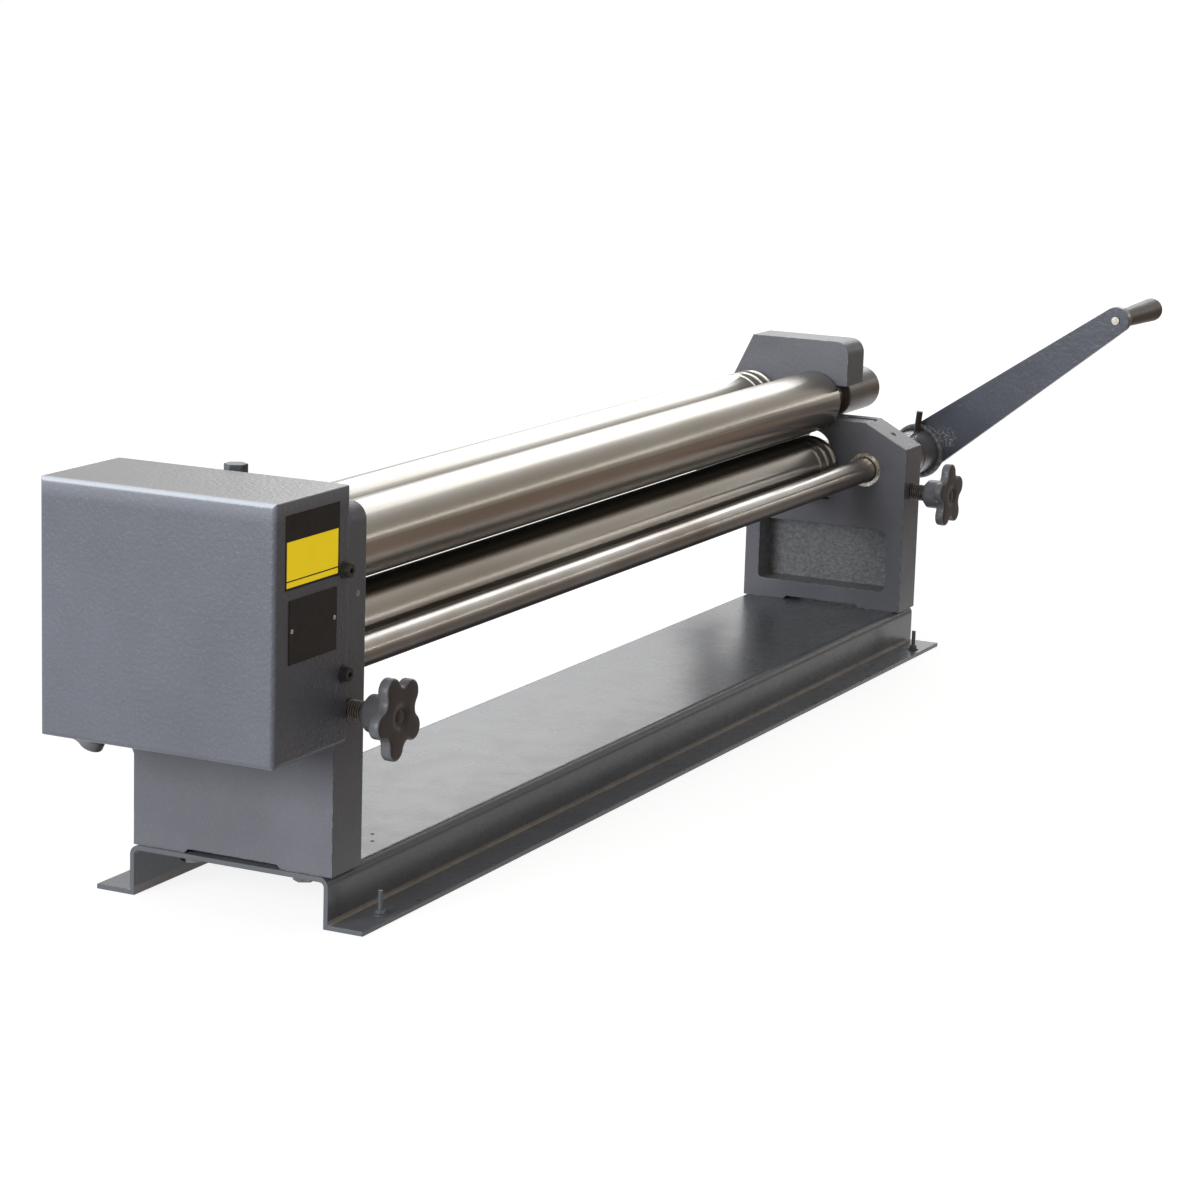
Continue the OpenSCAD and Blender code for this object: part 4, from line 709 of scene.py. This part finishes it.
def closed_ring(name, grid, finish, body):
    """A grid of points that joins up both ways, as on a ring."""
    rows, cols, _ = grid.shape
    row = np.arange(rows)[:, None]
    col = np.arange(cols)[None, :]
    here = row * cols + col
    right = row * cols + (col + 1) % cols
    above = (row + 1) % rows * cols + col
    far = (row + 1) % rows * cols + (col + 1) % cols
    mesh = bpy.data.meshes.new(name)
    quads = np.stack([here, above, far, right], -1).reshape(-1, 4)
    mesh.from_pydata(grid.reshape(-1, 3).tolist(), [], quads.tolist())
    mesh.polygons.foreach_set("use_smooth", np.ones(len(mesh.polygons), bool))
    mesh.materials.append(finish)
    return settle(name, mesh, body)


closed_ring("crank_weld", bead_rings(), crank_paint, "crank_set")

sleeve_paint = paint("sleeve_paint", (0.170, 0.145, 0.128), (0.38, 0.36, 0.33), 0.30, 240, 0.0004, 0.0012,
                     0.5, 0.2)
coat(sleeve_paint, "lock_sleeve")


# GEAR COVER. A box folded from sheet and sprayed with hammer finish, fixed by two cap screws
# through its lap. A painted highlight runs along its upward bends with a faint one just below its
# top, and its top is lightened by dust and a painted sheen. Its front carries a blank yellow
# sticker under a black band and, below it, a blank black plate on two rivets; the sticker's yellow
# glows as painted light.
COVER_FACE_Y = -0.111
COVER_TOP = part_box("gear_cover")[1].z
STICKER = (-0.808, -0.7175, 0.326, 0.392)
STICKER_T = 0.00025
STICKER_RIM = 0.0022
STICKER_BAND = 0.0235
STICKER_LINE = (0.0072, 0.0084)
PLATE = (-0.8015, -0.7215, 0.260, 0.3165)
PLATE_T = 0.0008
RIVETS = [(-0.7974, 0.2894), (-0.7258, 0.2895)]
RIVET_R = 0.0021
COVER_DUST_AND_SHEEN = (0.378, 0.373, 0.374)
COVER_BEND_HIGHLIGHT = (0.78, 0.84, 0.93)
cover_paint = paint("cover_paint", (0.168, 0.180, 0.216), (0.52, 0.54, 0.57), 0.33, 250, 0.0011, 0.0012,
                    0.50, 0.07, 0.11, 0.4)
cover_tree = cover_paint.node_tree
cover_facing = cover_tree.nodes.new("ShaderNodeNewGeometry").outputs["Normal"]
upright = cover_tree.nodes.new("ShaderNodeVectorMath")
upright.operation = "ABSOLUTE"
cover_tree.links.new(cover_facing, upright.inputs[0])
slant = cover_tree.nodes.new("ShaderNodeVectorMath")
slant.operation = "DOT_PRODUCT"
slant.inputs[1].default_value = (1, 1, 1)
cover_tree.links.new(upright.outputs["Vector"], slant.inputs[0])
cover_up = split(cover_tree, "ShaderNodeNewGeometry", "Normal")
cover_at = split(cover_tree, "ShaderNodeTexCoord", "Object")
# painted highlight: a pale blue white line along the upward bends, and a faint one on the sides just below the
# top
along_bend = product(cover_tree, remap(cover_tree, slant.outputs["Value"], 1.04, 1.25, 0, 1),
                     remap(cover_tree, cover_up["Z"], 0.0, 0.5, 0, 1))
below_bend = product(cover_tree,
                     remap(cover_tree, cover_at["Z"], COVER_TOP - 0.018, COVER_TOP - 0.003, 0, 0.20),
                     remap(cover_tree, cover_up["Z"], 0.5, 0.9, 1, 0))
cover_highlight_share = reckon(cover_tree, "MAXIMUM", along_bend, below_bend)
cover_skin = cover_tree.nodes["Principled BSDF"].inputs["Base Color"]
# dust and a painted sheen: the upward faces of the top are lightened
dust_and_sheen_top = blended(cover_tree, remap(cover_tree, cover_up["Z"], 0.90, 0.99, 0, 0.85),
                    cover_skin.links[0].from_socket, COVER_DUST_AND_SHEEN)
cover_tree.links.new(blended(cover_tree, cover_highlight_share, dust_and_sheen_top, COVER_BEND_HIGHLIGHT), cover_skin)
coat(cover_paint, "gear_cover")
screw_steel = paint("screw_steel", (0.050, 0.051, 0.056), (0.20, 0.20, 0.21), 0.32, 500, 0.0002, 0.0006,
                    0.5, 0.2)
coat(screw_steel, "cover_screws")


def flat_finish(name, colour, tint, roughness, scale, painted_glow=0.0):
    """A smooth skin whose colour drifts from colour to tint; painted light makes it glow, giving back
    more light than falls on it, by the share its last argument gives of its colour."""
    finish, tree, shader = new_finish(name)
    tree.links.new(blended(tree, remap(tree, noise(tree, scale, 3), 0.35, 0.65, 0, 1), colour, tint),
                   shader.inputs["Base Color"])
    tree.links.new(remap(tree, noise(tree, scale * 4, 2), 0.3, 0.7, roughness - 0.06, roughness + 0.08),
                   shader.inputs["Roughness"])
    shader.inputs["Specular IOR Level"].default_value = 0.3
    shader.inputs["Emission Color"].default_value = (*colour, 1)
    shader.inputs["Emission Strength"].default_value = painted_glow
    return finish


def front_panel(name, xs, zs, thickness, finishes, tone):
    """A thin panel standing off the cover's front: a front grid at the given columns and rows,
    whose cells take their finish from tone, and side walls back to the cover."""
    across, up = np.meshgrid(xs, zs)
    cols, rows = len(xs), len(zs)
    front = np.stack([across, np.full_like(across, COVER_FACE_Y - thickness), up], -1).reshape(-1, 3)
    back = front + (0, thickness, 0)
    row = np.arange(rows - 1)[:, None] * cols
    col = np.arange(cols - 1)
    cells = np.stack([row + col, row + col + 1, row + col + 1 + cols, row + col + cols], -1).reshape(-1, 4)
    rim = np.concatenate([np.arange(cols), np.arange(2, rows + 1) * cols - 1,
                          np.arange(cols * rows - 2, cols * (rows - 1) - 1, -1),
                          np.arange(rows - 2, 0, -1) * cols])
    after = np.roll(rim, -1)
    total = cols * rows
    walls = np.stack([after, rim, rim + total, after + total], -1)
    mesh = bpy.data.meshes.new(name)
    mesh.from_pydata(np.concatenate([front, back]).tolist(), [],
                     cells.tolist() + walls.tolist() + (cells[:, ::-1] + total).tolist())
    for finish in finishes:
        mesh.materials.append(finish)
    indices = np.concatenate([np.array(tone).reshape(-1), np.zeros(len(walls) + len(cells), int)])
    mesh.polygons.foreach_set("material_index", indices.astype(np.int32))
    return settle(name, mesh, "root")


sticker_black = flat_finish("sticker_black", (0.012, 0.012, 0.013), (0.022, 0.022, 0.022), 0.4, 60)
# the yellow glows by half its colour: painted light
sticker_yellow = flat_finish("sticker_yellow", (0.93, 0.68, 0.010), (0.86, 0.62, 0.008), 0.5, 50, 0.50)
x0, x1, z0, z1 = STICKER
front_panel("blank_sticker", [x0, x0 + STICKER_RIM, x1 - STICKER_RIM, x1],
            [z0, z0 + STICKER_RIM, z0 + STICKER_LINE[0], z0 + STICKER_LINE[1], z1 - STICKER_BAND, z1],
            STICKER_T, [sticker_black, sticker_yellow],
            [[0, 0, 0], [0, 1, 0], [0, 0, 0], [0, 1, 0], [0, 0, 0]])

plate_black = flat_finish("plate_black", (0.020, 0.020, 0.020), (0.030, 0.029, 0.028), 0.42, 90)
x0, x1, z0, z1 = PLATE
front_panel("blank_plate", [x0, x1], [z0, z1], PLATE_T, [plate_black], [[0]])
rivet_dome = lathe([(-0.0004, RIVET_R), (0.0002, RIVET_R), (0.0007, RIVET_R * 0.85),
                    (0.0010, RIVET_R * 0.5)], 20)
for i, (x, z) in enumerate(RIVETS):
    skin("plate_rivet_%d" % i,
         stand(rivet_dome, (x, COVER_FACE_Y - PLATE_T, z), (1, 0, 0), (0, 0, 1), (0, -1, 0)),
         rivet_steel, "root")
